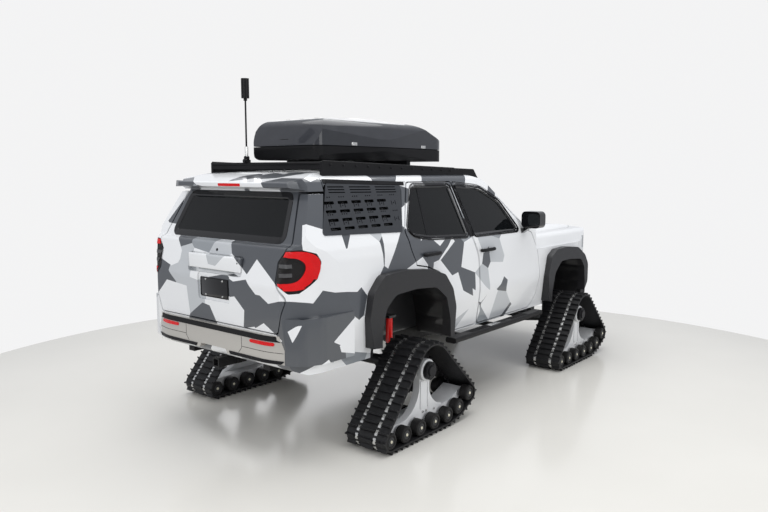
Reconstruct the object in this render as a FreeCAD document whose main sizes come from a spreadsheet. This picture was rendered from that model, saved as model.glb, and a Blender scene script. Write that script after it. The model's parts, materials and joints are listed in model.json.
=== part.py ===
"""Tracked sport utility vehicle: an off-road estate body on a ladder frame, with a track unit
at each hub, a roof rack and a roof box.  Millimetres, +X forward, +Y left, +Z up, origin on the
ground under the middle of the vehicle."""
import FreeCAD, Part
import math
import os
import re
import Sketcher

Vector = FreeCAD.Vector

# Driving dimensions.  Every outline below is written in these words and in offsets from them.
DIMENSIONS = {
    "half_length": 2475,      # bumper to bumper is twice this
    "half_width": 930,        # door skins, without the flares
    "half_flare": 988,        # over the wheel-arch flares
    "rear_axle": -1280,
    "wheelbase": 2850,
    "hub_height": 514,        # hub centre over the ground
    "sill": 655,              # underside of the sills
    "belt": 1500,             # bottom of the side windows
    "roof": 2085,             # crown of the roof
    "roof_half": 700,         # half the width at the roof edge
    "door_wall": 60,          # thickness below the belt
    "frame_wall": 34,         # thickness of pillars and window frames
    "seam": 9,                # gap round every moving panel
    "cowl": 810,              # base of the windscreen
    "gate_hinge": -2010,      # rear edge of the fixed roof
    "front_seam": 1029,       # foremost point of the front door
    "middle_seam": -160,      # seam between the side doors
    "glass": 5,
    "track_inner": 827,
    "track_outer": 1210,
    "roller_size": 65,        # roller radius
    "sprocket_size": 207,     # belt's inner radius over the sprocket
    "belt_thick": 12,
    "lug_height": 22,
    "lug_pitch": 94,
    "roller_gap": 187,        # spacing of the ground rollers
    "kingpin": 740,           # distance of the steering axis from the middle
    "rail_half": 455,         # middle of a frame rail
    "rack_half": 643,         # middle of a rack side rail
    "rack_rear": -1950,
    "box_rear": -1745,
    "box_length": 1900,
    "box_half": 425,
    "box_floor": 2166,
    "box_split": 2275,        # seam between box base and lid
    "box_top": 2527,
    "mast_top": 2812,
    "mast_side": 208,
}

doc = FreeCAD.newDocument("tracked_suv")
sheet = doc.addObject("Spreadsheet::Sheet", "Dimensions")
for row, (word, size) in enumerate(DIMENSIONS.items(), start=1):
    sheet.set(f"A{row}", word)
    sheet.set(f"B{row}", str(size))
    sheet.setAlias(f"B{row}", word)
doc.recompute()

FRONT_AXLE = "(rear_axle + wheelbase)"
nodes = {}


# ---------------------------------------------------------------- helpers

def bound(expression):
    """The expression with each word turned into a reference to its sheet cell."""
    return re.sub(r"[A-Za-z_]\w*", lambda word: "Dimensions." + word.group(0), str(expression))


def value(expression):
    """The expression's number with the sheet's present sizes."""
    return float(sheet.evalExpression(bound(expression)))


def corner_arc(before, corner, after, radius):
    """Start, middle and end of the arc that rounds a corner."""
    back = (before - corner).normalize()
    ahead = (after - corner).normalize()
    half = math.acos(max(-1.0, min(1.0, back.dot(ahead)))) / 2
    reach = radius / math.tan(half)
    inward = (back + ahead).normalize()
    crown = corner + inward * (radius / math.sin(half) - radius)
    return corner + back * reach, crown, corner + ahead * reach


def draw_outline(sketch, outline, tag=""):
    """Draw a closed outline of (x, y) or (x, y, corner radius) points, each bound to the sheet."""
    points = [tuple(point) + (0,) * (3 - len(point)) for point in outline]
    corners = [Vector(value(x), value(y), 0) for x, y, _ in points]
    radii = [value(radius) for _, _, radius in points]
    count = len(points)
    ends = []
    for index, radius in enumerate(radii):
        corner = corners[index]
        if radius:
            ends.append(corner_arc(corners[index - 1], corner, corners[(index + 1) % count], radius))
        else:
            ends.append((corner, corner, corner))
    lines = [sketch.addGeometry(Part.LineSegment(ends[index][2], ends[(index + 1) % count][0]), False)
             for index in range(count)]
    constraints = []
    bindings = []

    def bind(constraint, name, expression):
        bindings.append((len(constraints), name, expression))
        constraints.append(constraint)

    for index, radius in enumerate(radii):
        into, out = lines[index - 1], lines[index]
        if radius:
            first, crown, last = ends[index]
            leftward = (crown - first).cross(last - crown).z > 0
            arc = sketch.addGeometry(Part.Arc(*(ends[index] if leftward else reversed(ends[index]))),
                                     False)
            start = 1 if leftward else 2
            held = (sketch.addGeometry(Part.Point(corners[index]), True), 1)
            constraints.append(Sketcher.Constraint("Tangent", into, 2, arc, start))
            constraints.append(Sketcher.Constraint("Tangent", arc, 3 - start, out, 1))
            constraints.append(Sketcher.Constraint("PointOnObject", held[0], 1, into))
            constraints.append(Sketcher.Constraint("PointOnObject", held[0], 1, out))
            bind(Sketcher.Constraint("Radius", arc, radius), f"r{index}{tag}", points[index][2])
        else:
            held = (out, 1)
            constraints.append(Sketcher.Constraint("Coincident", into, 2, out, 1))
        bind(Sketcher.Constraint("DistanceX", -1, 1, *held, corners[index].x),
             f"x{index}{tag}", points[index][0])
        bind(Sketcher.Constraint("DistanceY", -1, 1, *held, corners[index].y),
             f"y{index}{tag}", points[index][1])
    earlier = len(sketch.Constraints)
    sketch.addConstraint(constraints)
    for offset, name, expression in bindings:
        sketch.renameConstraint(earlier + offset, name)
        sketch.setExpression("Constraints." + name, bound(expression))


def attach(sketch, body, plane, offset):
    """Attach a sketch to one of its body's origin planes, moved along the plane's normal."""
    sketch.AttachmentSupport = [(next(feature for feature in body.Origin.OriginFeatures
                                      if feature.Role == plane + "_Plane"), "")]
    sketch.MapMode = "FlatFace"
    sketch.setExpression("AttachmentOffset.Base.z", bound(offset))


def prism(name, plane, outlines, low, high):
    """A body padded from low to high along Y (plane XZ), X (plane YZ) or Z (plane XY).
    outlines is one closed outline, or a list of them that don't touch.  Points are (x, z) on
    plane XZ, (y, z) on plane YZ and, like the sections, across first on plane XY: (y, x)."""
    body = doc.addObject("PartDesign::Body", name)
    sketch = body.newObject("Sketcher::SketchObject", name + "_outline")
    attach(sketch, body, plane, f"-({high})" if plane == "XZ" else low)
    for number, outline in enumerate(outlines if isinstance(outlines, list) else [outlines]):
        if plane == "XY":
            outline = [(along, across, *radius) for across, along, *radius in outline]
        draw_outline(sketch, outline, f"_{number}")
    pad = body.newObject("PartDesign::Pad", name + "_pad")
    pad.Profile = sketch
    pad.setExpression("Length", bound(f"({high}) - ({low})"))
    sketch.Visibility = False
    return body


def patterned(body, across, across_step, upward=1, upward_step=0):
    """Repeat a body's pad along its sketch's two axes."""
    sketch, pad = body.Group[0], body.Tip
    pattern = body.newObject("PartDesign::LinearPattern", body.Name + "_pattern")
    pattern.Originals = [pad]
    pattern.Direction = (sketch, ["H_Axis"])
    pattern.Mode = "Spacing"
    pattern.Occurrences = across
    pattern.Offset = across_step
    if upward > 1:
        pattern.Direction2 = (sketch, ["V_Axis"])
        pattern.Mode2 = "Spacing"
        pattern.Occurrences2 = upward
        pattern.Offset2 = upward_step
    body.Tip = pattern
    return body


def box_outline(left, right, bottom, top, radius=0):
    return ((left, bottom, radius), (right, bottom, radius), (right, top, radius), (left, top, radius))


def both_ways(half_outline):
    """Close an outline given for the right side of its second axis by its mirror image."""
    mirrored = [(f"-({point[0]})",) + tuple(point[1:]) for point in reversed(half_outline)]
    return tuple(half_outline) + tuple(mirrored)


def cylinder(name, radius, axis, centre, low, high):
    """A cylinder along X, Y or Z from low to high; centre holds its other two coordinates."""
    item = doc.addObject("Part::Cylinder", name)
    item.setExpression("Radius", bound(radius))
    item.setExpression("Height", bound(f"({high}) - ({low})"))
    turn = {"X": FreeCAD.Rotation(Vector(0, 1, 0), 90), "Y": FreeCAD.Rotation(Vector(1, 0, 0), -90),
            "Z": FreeCAD.Rotation()}[axis]
    item.Placement = FreeCAD.Placement(Vector(), turn)
    places = {"X": (low, *centre), "Y": (centre[0], low, centre[1]), "Z": (*centre, low)}[axis]
    for letter, place in zip("xyz", places):
        item.setExpression("Placement.Base." + letter, bound(place))
    return item


def fuse(name, *items):
    if len(items) == 1:
        return items[0]
    item = doc.addObject("Part::MultiFuse", name)
    item.Shapes = list(items)
    return item


def cut(name, base, *tools):
    item = doc.addObject("Part::Cut", name)
    item.Base = base
    item.Tool = fuse(name + "_tools", *tools)
    return item


def common(name, *items):
    item = doc.addObject("Part::MultiCommon", name)
    item.Shapes = list(items)
    return item


def group(name, *items):
    """Like pieces that don't touch, kept as separate solids of one sub-part."""
    item = doc.addObject("Part::Compound", name)
    item.Links = list(items)
    return item


def mirrored(name, item, normal=Vector(0, 1, 0)):
    copy = doc.addObject("Part::Mirroring", name)
    copy.Source = item
    copy.Normal = normal
    return copy


def pair(name, item):
    return group(name, item, mirrored(name + "_other_side", item))


def shaped(name, shape):
    """A Part::Feature for a form that no sketch or primitive fits."""
    item = doc.addObject("Part::Feature", name)
    item.Shape = shape
    return item


def node(label, item):
    item.Label = label
    nodes[label] = item
    return item


# ---------------------------------------------------------------- body blank

def section(name, low_wall, high_wall, low, high):
    """The body's cross-section with its walls set in, padded along X."""
    half = (
        (f"half_width - 45 - ({low_wall})", "sill - 100"),
        (f"half_width - 40 - ({low_wall})", "sill + 30"),
        (f"half_width + 2 - ({low_wall})", "sill + 330", 500),
        (f"half_width - 22 - ({low_wall} + {high_wall}) / 2", "belt - 60", 300),
        (f"half_width - 38 - ({high_wall})", "belt + 20", 120),
        (f"roof_half - 1.05 * ({high_wall})", f"roof - 62 - 0.3 * ({high_wall})", 70),
        ("roof_half - 130", f"roof - 14 - ({high_wall})", 400),
        ("roof_half - 320", f"roof - ({high_wall})", 900),
    )
    return prism(name, "YZ", both_ways(half), low, high)


def roof_line(wall):
    return (
        ("gate_hinge", f"roof - 22 - ({wall})", 900),
        ("gate_hinge + 750", f"roof + 2 - ({wall})", 2500),
        ("gate_hinge + 1500", f"roof - 8 - ({wall})", 2500),
        ("cowl - 790", f"roof - 48 - ({wall})", 900),
    )


hull_side = prism("hull_side", "XZ", (
    ("-half_length + 60", "sill + 40", 60),
    ("-half_length + 30", "belt - 560"),
    ("-half_length + 12", "belt - 230", 120),
    ("-half_length + 75", "belt + 45", 30),
    ("-half_length + 128", "belt + 66", 30),
    ("-half_length + 305", "roof - 147", 12),
    ("-half_length + 190", "roof - 128", 10),
    ("-half_length + 184", "roof - 92", 12),
    *roof_line(0),
    ("cowl - 590", "roof - 98", 250),
    ("cowl - 20", "belt - 12", 40),
    ("cowl + 160", "belt - 2", 500),
    ("half_length - 560", "belt - 34", 1500),
    ("half_length - 190", "belt - 74", 150),
    ("half_length - 95", "belt - 190", 150),
    ("half_length - 45", "belt - 420", 300),
    ("half_length - 60", "sill + 60", 40),
    ("half_length - 160", "sill", 40),
    ("-half_length + 160", "sill", 40),
), "-1200", "1200")

hull_section = section("hull_section", 0, 0, "-half_length - 50", "half_length + 50")

hull_plan = prism("hull_plan", "XY", both_ways((
    ("half_width - 210", "-half_length - 25", 260),
    ("half_width - 55", "-half_length + 190", 260),
    ("half_width + 8", "-half_length + 620", 900),
    ("half_width + 8", "half_length - 620", 900),
    ("half_width - 60", "half_length - 170", 260),
    ("half_width - 330", "half_length - 20", 400),
)), "0", "3000")

# Fender crowns stand lower than the raised middle of the hood.
shoulder_half = prism("shoulder_half", "YZ", (
    ("half_width - 330", "roof"),
    ("half_width - 330", "belt - 16", 60),
    ("half_width - 230", "belt - 78", 120),
    ("half_width - 70", "belt - 92", 70),
    ("half_width - 25", "belt - 230"),
    ("half_width + 200", "belt - 230"),
    ("half_width + 200", "roof"),
), "cowl + 150", "half_length + 60")
shoulders = fuse("shoulders", shoulder_half, mirrored("shoulder_right", shoulder_half))

# The roof spoiler is bowed in plan: its tips end forward of its middle.
spoiler_trim = prism("spoiler_trim", "XY", (
    ("half_width - 560", "-half_length + 180", 500),
    ("half_width - 290", "-half_length + 215", 200),
    ("half_width - 205", "-half_length + 312", 30),
    ("half_width + 100", "-half_length + 330"),
    ("half_width + 100", "-half_length + 100"),
    ("half_width - 560", "-half_length + 100"),
), "roof - 175", "roof + 50")
hull = cut("hull", common("hull_rough", hull_side, hull_section, hull_plan), shoulders, spoiler_trim,
           mirrored("spoiler_trim_right", spoiler_trim))

cabin_side = prism("cabin_side", "XZ", (
    ("-half_length + 95", "sill + 95", 40),
    ("-half_length + 100", "belt - 20", 60),
    ("-half_length + 190", "belt + 70", 60),
    ("-half_length + 375", "roof - 200", 60),
    ("gate_hinge - 20", "roof - 80", 60),
    ("gate_hinge + 300", "roof - 50", 900),
    ("gate_hinge + 1500", "roof - 48", 2500),
    ("cowl - 790", "roof - 88", 700),
    ("cowl - 610", "roof - 135", 250),
    ("cowl - 60", "belt - 40", 40),
    ("cowl - 60", "sill + 95", 60),
), "-1000", "1000")
cabin_section = section("cabin_section", "door_wall", "frame_wall", "-half_length", "half_length")
cabin_plan = prism("cabin_plan", "XY", both_ways((
    ("half_width - 270", "-half_length + 60", 200),
    ("half_width - 120", "-half_length + 290", 200),
    ("half_width - 55", "-half_length + 620", 600),
    ("half_width - 55", "half_length"),
)), "0", "3000")


def rear_arch(grow):
    """Rear wheel opening, grown outward by a number of millimetres."""
    return (
        (f"rear_axle - 375 - {grow}", "sill - 150"),
        (f"rear_axle - 368 - {grow}", "hub_height + 360", 60),
        (f"rear_axle - 320 - {grow}", f"hub_height + 520 + 0.4 * {grow}", 80),
        (f"rear_axle - 205 - 0.4 * {grow}", f"hub_height + 612 + {grow}", 120),
        ("rear_axle + 60", f"hub_height + 626 + {grow}", 600),
        (f"rear_axle + 335 + 0.4 * {grow}", f"hub_height + 604 + {grow}", 120),
        (f"rear_axle + 490 + 0.8 * {grow}", f"hub_height + 500 + 0.6 * {grow}", 90),
        (f"rear_axle + 548 + {grow}", "hub_height + 300", 80),
        (f"rear_axle + 560 + {grow}", "sill - 150"),
    )


def front_arch(grow):
    return (
        (f"{FRONT_AXLE} - 372 - {grow}", "sill - 150"),
        (f"{FRONT_AXLE} - 350 - {grow}", "hub_height + 290", 80),
        (f"{FRONT_AXLE} - 288 - {grow}", f"hub_height + 476 + 0.4 * {grow}", 80),
        (f"{FRONT_AXLE} - 150 - 0.4 * {grow}", f"hub_height + 588 + {grow}", 110),
        (f"{FRONT_AXLE} + 60", f"hub_height + 592 + {grow}", 600),
        (f"{FRONT_AXLE} + 360 + 0.4 * {grow}", f"hub_height + 568 + {grow}", 110),
        (f"{FRONT_AXLE} + 455 + {grow}", f"hub_height + 470 + 0.4 * {grow}", 80),
        (f"{FRONT_AXLE} + 480 + {grow}", "hub_height + 290", 80),
        (f"{FRONT_AXLE} + 480 + {grow}", "sill - 150"),
    )


rear_house = prism("rear_house", "XZ", rear_arch(22), "half_width - 340", "half_width + 200")
rear_houses = fuse("rear_houses", rear_house, mirrored("rear_house_right", rear_house))
cabin = cut("cabin", common("cabin_rough", cabin_side, cabin_section, cabin_plan), rear_houses)

engine_side = prism("engine_side", "XZ", (
    ("cowl", "sill - 20"),
    ("cowl", "belt - 52", 20),
    ("cowl + 160", "belt - 34", 400),
    ("half_length - 570", "belt - 64", 1500),
    ("half_length - 210", "belt - 108", 120),
    ("half_length - 125", "belt - 200", 120),
    ("half_length - 85", "belt - 420", 200),
    ("half_length - 100", "sill - 20"),
), "-800", "800")
front_house = prism("front_house", "XZ", front_arch(22), "half_width - 340", "half_width + 200")
front_houses = fuse("front_houses", front_house, mirrored("front_house_right", front_house))
shoulder_inner = prism("shoulder_inner", "YZ", (
    ("half_width - 340", "roof"),
    ("half_width - 340", "belt - 46", 60),
    ("half_width - 240", "belt - 104", 80),
    ("half_width - 130", "belt - 118"),
    ("half_width - 130", "sill - 200"),
    ("half_width + 200", "sill - 200"),
    ("half_width + 200", "roof"),
), "cowl - 10", "half_length + 60")
shoulder_inners = fuse("shoulder_inners", shoulder_inner,
                       mirrored("shoulder_inner_right", shoulder_inner))
engine_bay = cut("engine_bay", engine_side, front_houses, shoulder_inners)

underbody = prism("underbody", "XY", box_outline("-half_width + 300", "half_width - 300",
                                                 "-half_length + 120", "cowl + 20"),
                  "sill - 60", "sill + 45")
blank = cut("blank", hull, cabin, engine_bay, underbody)

# ---------------------------------------------------------------- panels cut from the blank

def front_door(gap):
    """Front door outline, drawn in from the seams by gap."""
    return (
        (f"middle_seam + {gap}", f"sill + 9 + {gap}", 30),
        (f"middle_seam - 4 + {gap}", "belt - 190", 320),
        (f"middle_seam - 100 + {gap}", "belt - 20", 120),
        (f"middle_seam - 196 + {gap}", f"roof - 98 - {gap}", 30),
        ("cowl - 700", f"roof - 136 - {gap}", 500),
        (f"cowl - 405 - 0.5 * {gap}", f"roof - 276 - {gap}", 200),
        (f"cowl - 66 - {gap}", f"belt + 8 - {gap}", 60),
        (f"front_seam - 160 - {gap}", f"belt - 50 - 0.5 * {gap}", 60),
        (f"front_seam - 40 - {gap}", "belt - 240", 200),
        (f"front_seam + 4 - {gap}", "belt - 510", 300),
        (f"front_seam - 48 - {gap}", "sill + 115", 150),
        (f"front_seam - 175 - {gap}", f"sill + 9 + {gap}", 60),
    )


def rear_door(gap):
    return (
        (f"middle_seam - {gap}", f"sill + 9 + {gap}", 30),
        (f"middle_seam - 9 - {gap}", "belt - 190", 320),
        (f"middle_seam - 105 - {gap}", "belt - 20", 120),
        (f"middle_seam - 196 - {gap}", f"roof - 98 - {gap}", 30),
        (f"rear_axle + 256 + 1.9 * {gap}", f"roof - 96 - {gap}", 50),
        (f"rear_axle + 52 + 1.9 * {gap}", "belt + 95", 80),
        (f"rear_axle + 90 + 1.4 * {gap}", "belt - 60", 60),
        (f"rear_axle + 150 + {gap}", "belt - 165", 40),
        (f"rear_axle + 150 + {gap}", f"hub_height + 795 + {gap}", 20),
        (f"rear_axle + 300 + {gap}", f"hub_height + 768 + {gap}", 200),
        (f"rear_axle + 478 + {gap}", f"hub_height + 706 + 0.8 * {gap}", 90),
        (f"rear_axle + 600 + {gap}", f"hub_height + 560 + 0.5 * {gap}", 120),
        (f"rear_axle + 648 + {gap}", "hub_height + 400", 120),
        (f"rear_axle + 640 + {gap}", f"sill + 9 + {gap}", 30),
    )


FRONT_WINDOW = (
    ("middle_seam - 62", "belt", 25),
    ("middle_seam - 152", "roof - 140", 30),
    ("cowl - 712", "roof - 174", 500),
    ("cowl - 430", "roof - 308", 200),
    ("cowl - 216", "belt - 6", 25),
)
REAR_WINDOW = (
    ("middle_seam - 168", "belt", 25),
    ("middle_seam - 246", "roof - 138", 30),
    ("rear_axle + 318", "roof - 134", 50),
    ("rear_axle + 112", "belt + 110", 40),
    ("rear_axle + 168", "belt + 60", 40),
    ("rear_axle + 380", "belt + 26", 100),
)
QUARTER_WINDOW = (
    ("rear_axle + 30", "belt + 96", 30),
    ("rear_axle + 185", "roof - 134", 30),
    ("rear_axle - 722", "roof - 104", 40),
    ("rear_axle - 868", "belt + 128", 40),
)


def side_prism(name, outline):
    return prism(name, "XZ", outline, "roof_half - 180", "half_width + 100")


front_opening = side_prism("front_opening", front_door(0))
rear_opening = side_prism("rear_opening", rear_door(0))
quarter_opening = side_prism("quarter_opening", QUARTER_WINDOW)
# Doors are as thick as the wall: the floor edge and the firewall behind them stay with the shell.
shell_core = section("shell_core", "door_wall + 6", "frame_wall + 6", "-half_length", "half_length")
leaf_core = section("leaf_core", "door_wall - 1", "frame_wall - 1", "-half_length", "half_length")
side_openings = cut("side_openings", fuse("side_holes", front_opening, rear_opening,
                                          quarter_opening), shell_core)
side_openings_right = mirrored("side_openings_right", side_openings)


def gate_outline(gap):
    return both_ways((
        (f"half_width - 232 - {gap}", f"belt - 560 + {gap}", 30),
        (f"half_width - 160 - {gap}", f"belt - 300 - 1.6 * {gap}", 60),
        (f"half_width - 242 - {gap}", f"belt - 180 - 1.6 * {gap}", 40),
        (f"half_width - 242 - {gap}", "belt - 50", 20),
        (f"half_width - 182 - {gap}", "belt + 30", 20),
        (f"half_width - 182 - 1.5 * {gap}", "belt + 90", 30),
        (f"half_width - 268 - 2.6 * {gap}", f"roof - 172 + 2 * {gap}", 10),
        (f"half_width + 60 - {gap}", f"roof - 172 + 2 * {gap}"),
        (f"half_width + 60 - {gap}", "roof + 100"),
    ))


GATE_WINDOW = both_ways((
    ("half_width - 290", "belt + 96", 40),
    ("half_width - 355", "roof - 190", 40),
))
gate_opening = prism("gate_opening", "YZ", gate_outline(0), "-half_length - 60", "gate_hinge")
gate_panel = prism("gate_panel", "YZ", gate_outline("seam"), "-half_length - 60",
                   "gate_hinge - seam")
gate_window = prism("gate_window", "YZ", GATE_WINDOW, "-half_length - 60", "gate_hinge - 60")


def hood_outline(gap):
    """Hood panel outline, drawn in from its seam by gap."""
    return both_ways((
        (f"half_width - 150 - {gap}", f"cowl + 22 + {gap}", 40),
        (f"half_width - 190 - {gap}", "half_length - 330", 200),
        (f"half_width - 330 - {gap}", f"half_length - 148 - {gap}", 150),
    ))


hood_opening = prism("hood_opening", "XY", hood_outline(0), "belt - 150", "belt + 100")
hood_panel = prism("hood_panel", "XY", hood_outline("seam"), "belt - 150", "belt + 100")

WINDSCREEN = both_ways((
    ("half_width - 130", "belt + 20", 60),
    ("half_width - 285", "roof - 122", 60),
))
screen_opening = prism("screen_opening", "YZ", WINDSCREEN, "cowl - 640", "cowl + 100")

arch_rear = prism("arch_rear", "XZ", rear_arch(0), "half_width - 315", "half_width + 200")
arch_front = prism("arch_front", "XZ", front_arch(0), "half_width - 315", "half_width + 200")
arches = fuse("arches", arch_rear, arch_front)
arches_right = mirrored("arches_right", arches)

lamp_rear_view = prism("lamp_rear_view", "YZ", (
    ("half_width - 241", "belt - 48", 15),
    ("half_width - 180", "belt + 32", 20),
    ("half_width + 60", "belt + 52"),
    ("half_width + 60", "belt - 252"),
    ("half_width - 155", "belt - 268", 20),
    ("half_width - 241", "belt - 180", 20),
), "-half_length - 60", "-half_length + 400")
lamp_side_view = prism("lamp_side_view", "XZ", (
    ("-half_length - 60", "belt - 300"),
    ("-half_length + 70", "belt - 300"),
    ("-half_length + 240", "belt - 168", 30),
    ("-half_length + 274", "belt - 52", 30),
    ("-half_length + 234", "belt + 8", 20),
    ("-half_length + 60", "belt + 60"),
    ("-half_length - 60", "belt + 60"),
), "0", "half_width + 100")
tail_room = common("tail_room", lamp_rear_view, lamp_side_view)
tail_room_right = mirrored("tail_room_right", tail_room)

headlamp_room = prism("headlamp_room", "YZ", (
    ("half_width - 420", "belt - 330", 20),
    ("half_width - 400", "belt - 196", 20),
    ("half_width + 20", "belt - 170"),
    ("half_width + 20", "belt - 300", 20),
    ("half_width - 180", "belt - 350", 20),
), "half_length - 330", "half_length + 60")
headlamp_room_right = mirrored("headlamp_room_right", headlamp_room)
grille_room = prism("grille_room", "YZ", both_ways((
    ("half_width - 480", "belt - 420", 30),
    ("half_width - 440", "belt - 200", 30),
)), "half_length - 200", "half_length + 60")

# The upper arms pass through a window in each front wheelhouse wall.
arm_window = prism("arm_window", "XZ", box_outline(f"{FRONT_AXLE} - 170", f"{FRONT_AXLE} + 170",
                                                   "sill - 20", "sill + 60", 20),
                   "half_width - 360", "half_width - 290")
shell_cut = cut("shell_cut", blank, arm_window, mirrored("arm_window_right", arm_window),
                side_openings, side_openings_right, gate_opening, hood_opening, screen_opening,
                arches, arches_right, tail_room, tail_room_right, headlamp_room,
                headlamp_room_right, grille_room)
node("body_shell", shell_cut)

hood = node("hood", common("hood_cut", blank, hood_panel))
gate_cut = common("gate_cut", blank, gate_panel)
handle_recess = prism("handle_recess", "YZ", box_outline("-320", "320", "belt - 190", "belt - 40", 25),
                      "-half_length - 60", "-half_length + 62")
plate_recess = prism("plate_recess", "YZ", box_outline("-190", "190", "belt - 395", "belt - 190", 20),
                     "-half_length - 60", "-half_length + 30")
# The gate's lower wings are thin, so that they pass under the lamps as the gate swings out.
wing_core = prism("wing_core", "XY", (
    ("half_width - 255", "-half_length + 40"),
    ("half_width - 155", "-half_length + 66"),
    ("half_width - 60", "-half_length + 140"),
    ("half_width - 60", "-half_length + 400"),
    ("half_width - 255", "-half_length + 400"),
), "sill", "belt - 165")
node("tailgate", cut("tailgate_cut", gate_cut, gate_window, handle_recess, plate_recess, wing_core,
                     mirrored("wing_core_right", wing_core)))


def glass_layer(name, depth, low, high):
    """A skin of glass thickness at a depth under the body side."""
    outer = section(name + "_outer", depth, depth, low, high)
    inner = section(name + "_inner", f"{depth} + glass", f"{depth} + glass", f"({low}) - 5",
                    f"({high}) + 5")
    return cut(name, outer, inner)


side_glass = glass_layer("side_glass", 14, "-half_length", "cowl + 100")

for name, door_outline, window in (("front", front_door, FRONT_WINDOW), ("rear", rear_door, REAR_WINDOW)):
    panel = side_prism(f"{name}_panel", door_outline("seam"))
    hole = side_prism(f"{name}_hole", window)
    leaf = cut(f"{name}_leaf", common(f"{name}_blank", blank, panel), leaf_core, hole,
               screen_opening)
    pane = common(f"{name}_pane", side_glass, hole)
    node(f"door_{name}_left", leaf)
    node(f"door_{name}_right", mirrored(f"{name}_leaf_right", leaf))
    node(f"glass_{name}_left", pane)
    node(f"glass_{name}_right", mirrored(f"{name}_pane_right", pane))

quarter_pane = cut("quarter_pane", common("quarter_skin", side_glass, quarter_opening), gate_opening)
screen_layer = prism("screen_layer", "XZ", (
    ("cowl - 594", "roof - 98"),
    ("cowl - 24", "belt - 12"),
    ("cowl - 32", "belt - 12"),
    ("cowl - 602", "roof - 98"),
), "-1000", "1000")
screen_pane = common("screen_pane", screen_layer, screen_opening)
node("fixed_glass", group("fixed_panes", quarter_pane,
                          mirrored("quarter_pane_right", quarter_pane), screen_pane))

gate_layer = prism("gate_layer", "XZ", (
    ("-half_length + 132", "belt + 66"),
    ("-half_length + 309", "roof - 147"),
    ("-half_length + 316", "roof - 147"),
    ("-half_length + 139", "belt + 66"),
), "-1000", "1000")
node("tailgate_glass", common("gate_pane", gate_layer, gate_window))

# ---------------------------------------------------------------- outer trim

lamp_blank = common("lamp_blank", blank, tail_room)
node("tail_lamps", pair("tail_lamp_pair", lamp_blank))
headlamp = common("headlamp", blank, headlamp_room)
node("headlamps", pair("headlamp_pair", headlamp))
grille_blank = common("grille_blank", blank, grille_room)
grille_slots = prism("grille_slots", "YZ", [
    box_outline("-half_width + 520", "half_width - 520", f"belt - 392 + {step} * 44",
                f"belt - 366 + {step} * 44", 8) for step in range(4)],
    "half_length - 300", "half_length + 60")
node("grille", cut("grille_cut", grille_blank, grille_slots))


def flare_rear(grow):
    return (
        (f"rear_axle - 470 - {grow}", "hub_height + 235"),
        (f"rear_axle - 515 - {grow}", "hub_height + 470", 80),
        (f"rear_axle - 470 - {grow}", "hub_height + 655", 80),
        (f"rear_axle - 340 - {grow}", f"hub_height + 780 + {grow}", 120),
        ("rear_axle - 60", f"hub_height + 792 + {grow}", 500),
        ("rear_axle + 265", f"hub_height + 762 + {grow}", 300),
        (f"rear_axle + 470 + {grow}", f"hub_height + 698 + {grow}", 90),
        (f"rear_axle + 588 + {grow}", "hub_height + 562", 120),
        (f"rear_axle + 638 + {grow}", "hub_height + 400", 120),
        (f"rear_axle + 612 + {grow}", "sill + 8"),
        ("rear_axle + 549", "sill + 8"),
    )


flare_front_outline = (
    (f"{FRONT_AXLE} - 372", "sill + 30"),
    (f"{FRONT_AXLE} - 424", "sill + 47"),
    (f"{FRONT_AXLE} - 450", "hub_height + 462", 80),
    (f"{FRONT_AXLE} - 372", "hub_height + 664", 80),
    (f"{FRONT_AXLE} - 250", "hub_height + 726", 100),
    (f"{FRONT_AXLE} - 10", "hub_height + 736", 500),
    (f"{FRONT_AXLE} + 280", "hub_height + 708", 200),
    (f"{FRONT_AXLE} + 470", "hub_height + 606", 120),
    (f"{FRONT_AXLE} + 560", "hub_height + 495", 100),
    (f"{FRONT_AXLE} + 560", "hub_height + 290", 80),
    (f"{FRONT_AXLE} + 470", "sill + 40"),
)
flare_rear_ring = prism("flare_rear_ring", "XZ", flare_rear(0), "half_width - 60", "half_flare")
flare_front_ring = prism("flare_front_ring", "XZ", flare_front_outline, "half_width - 60",
                         "half_flare")
flare_rear_solid = cut("flare_rear_solid", flare_rear_ring, hull, arch_rear)
flare_front_solid = cut("flare_front_solid", flare_front_ring, hull, arch_front)
node("fender_flares", group("flares", flare_rear_solid, flare_front_solid,
                            mirrored("flare_rear_right", flare_rear_solid),
                            mirrored("flare_front_right", flare_front_solid)))

bumper_rear_plan = prism("bumper_rear_plan", "XY", both_ways((
    ("half_width + 8", "-half_length + 560"),
    ("half_width + 8", "-half_length + 240", 160),
    ("half_width - 60", "-half_length + 80", 120),
    ("half_width - 330", "-half_length", 500),
)), "sill + 75", "belt - 568")
corner_plan = prism("corner_plan", "XY", (
    ("half_width + 8", "-half_length + 560"),
    ("half_width + 8", "-half_length + 240", 160),
    ("half_width - 60", "-half_length + 80", 120),
    ("half_width - 170", "-half_length + 38"),
    ("half_width - 170", "-half_length + 560"),
), "sill + 75", "belt - 440")
bumper_solid = fuse("bumper_solid", bumper_rear_plan, corner_plan,
                    mirrored("corner_plan_right", corner_plan))
bumper_notch = prism("bumper_notch", "YZ", (
    ("-200", "sill"),
    ("-150", "sill + 108", 15),
    ("150", "sill + 108", 15),
    ("200", "sill"),
), "-half_length - 60", "-half_length + 160")
hull_slab = prism("hull_slab", "XY", box_outline("-half_width + 60", "half_width - 60",
                                                 "-half_length + 100", "-half_length + 900"),
                  "sill - 100", "belt")
node("rear_bumper", cut("rear_bumper_cut", bumper_solid, hull, bumper_notch, hull_slab, arches,
                        arches_right, flare_rear_ring,
                        mirrored("flare_rear_ring_right", flare_rear_ring)))

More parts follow.
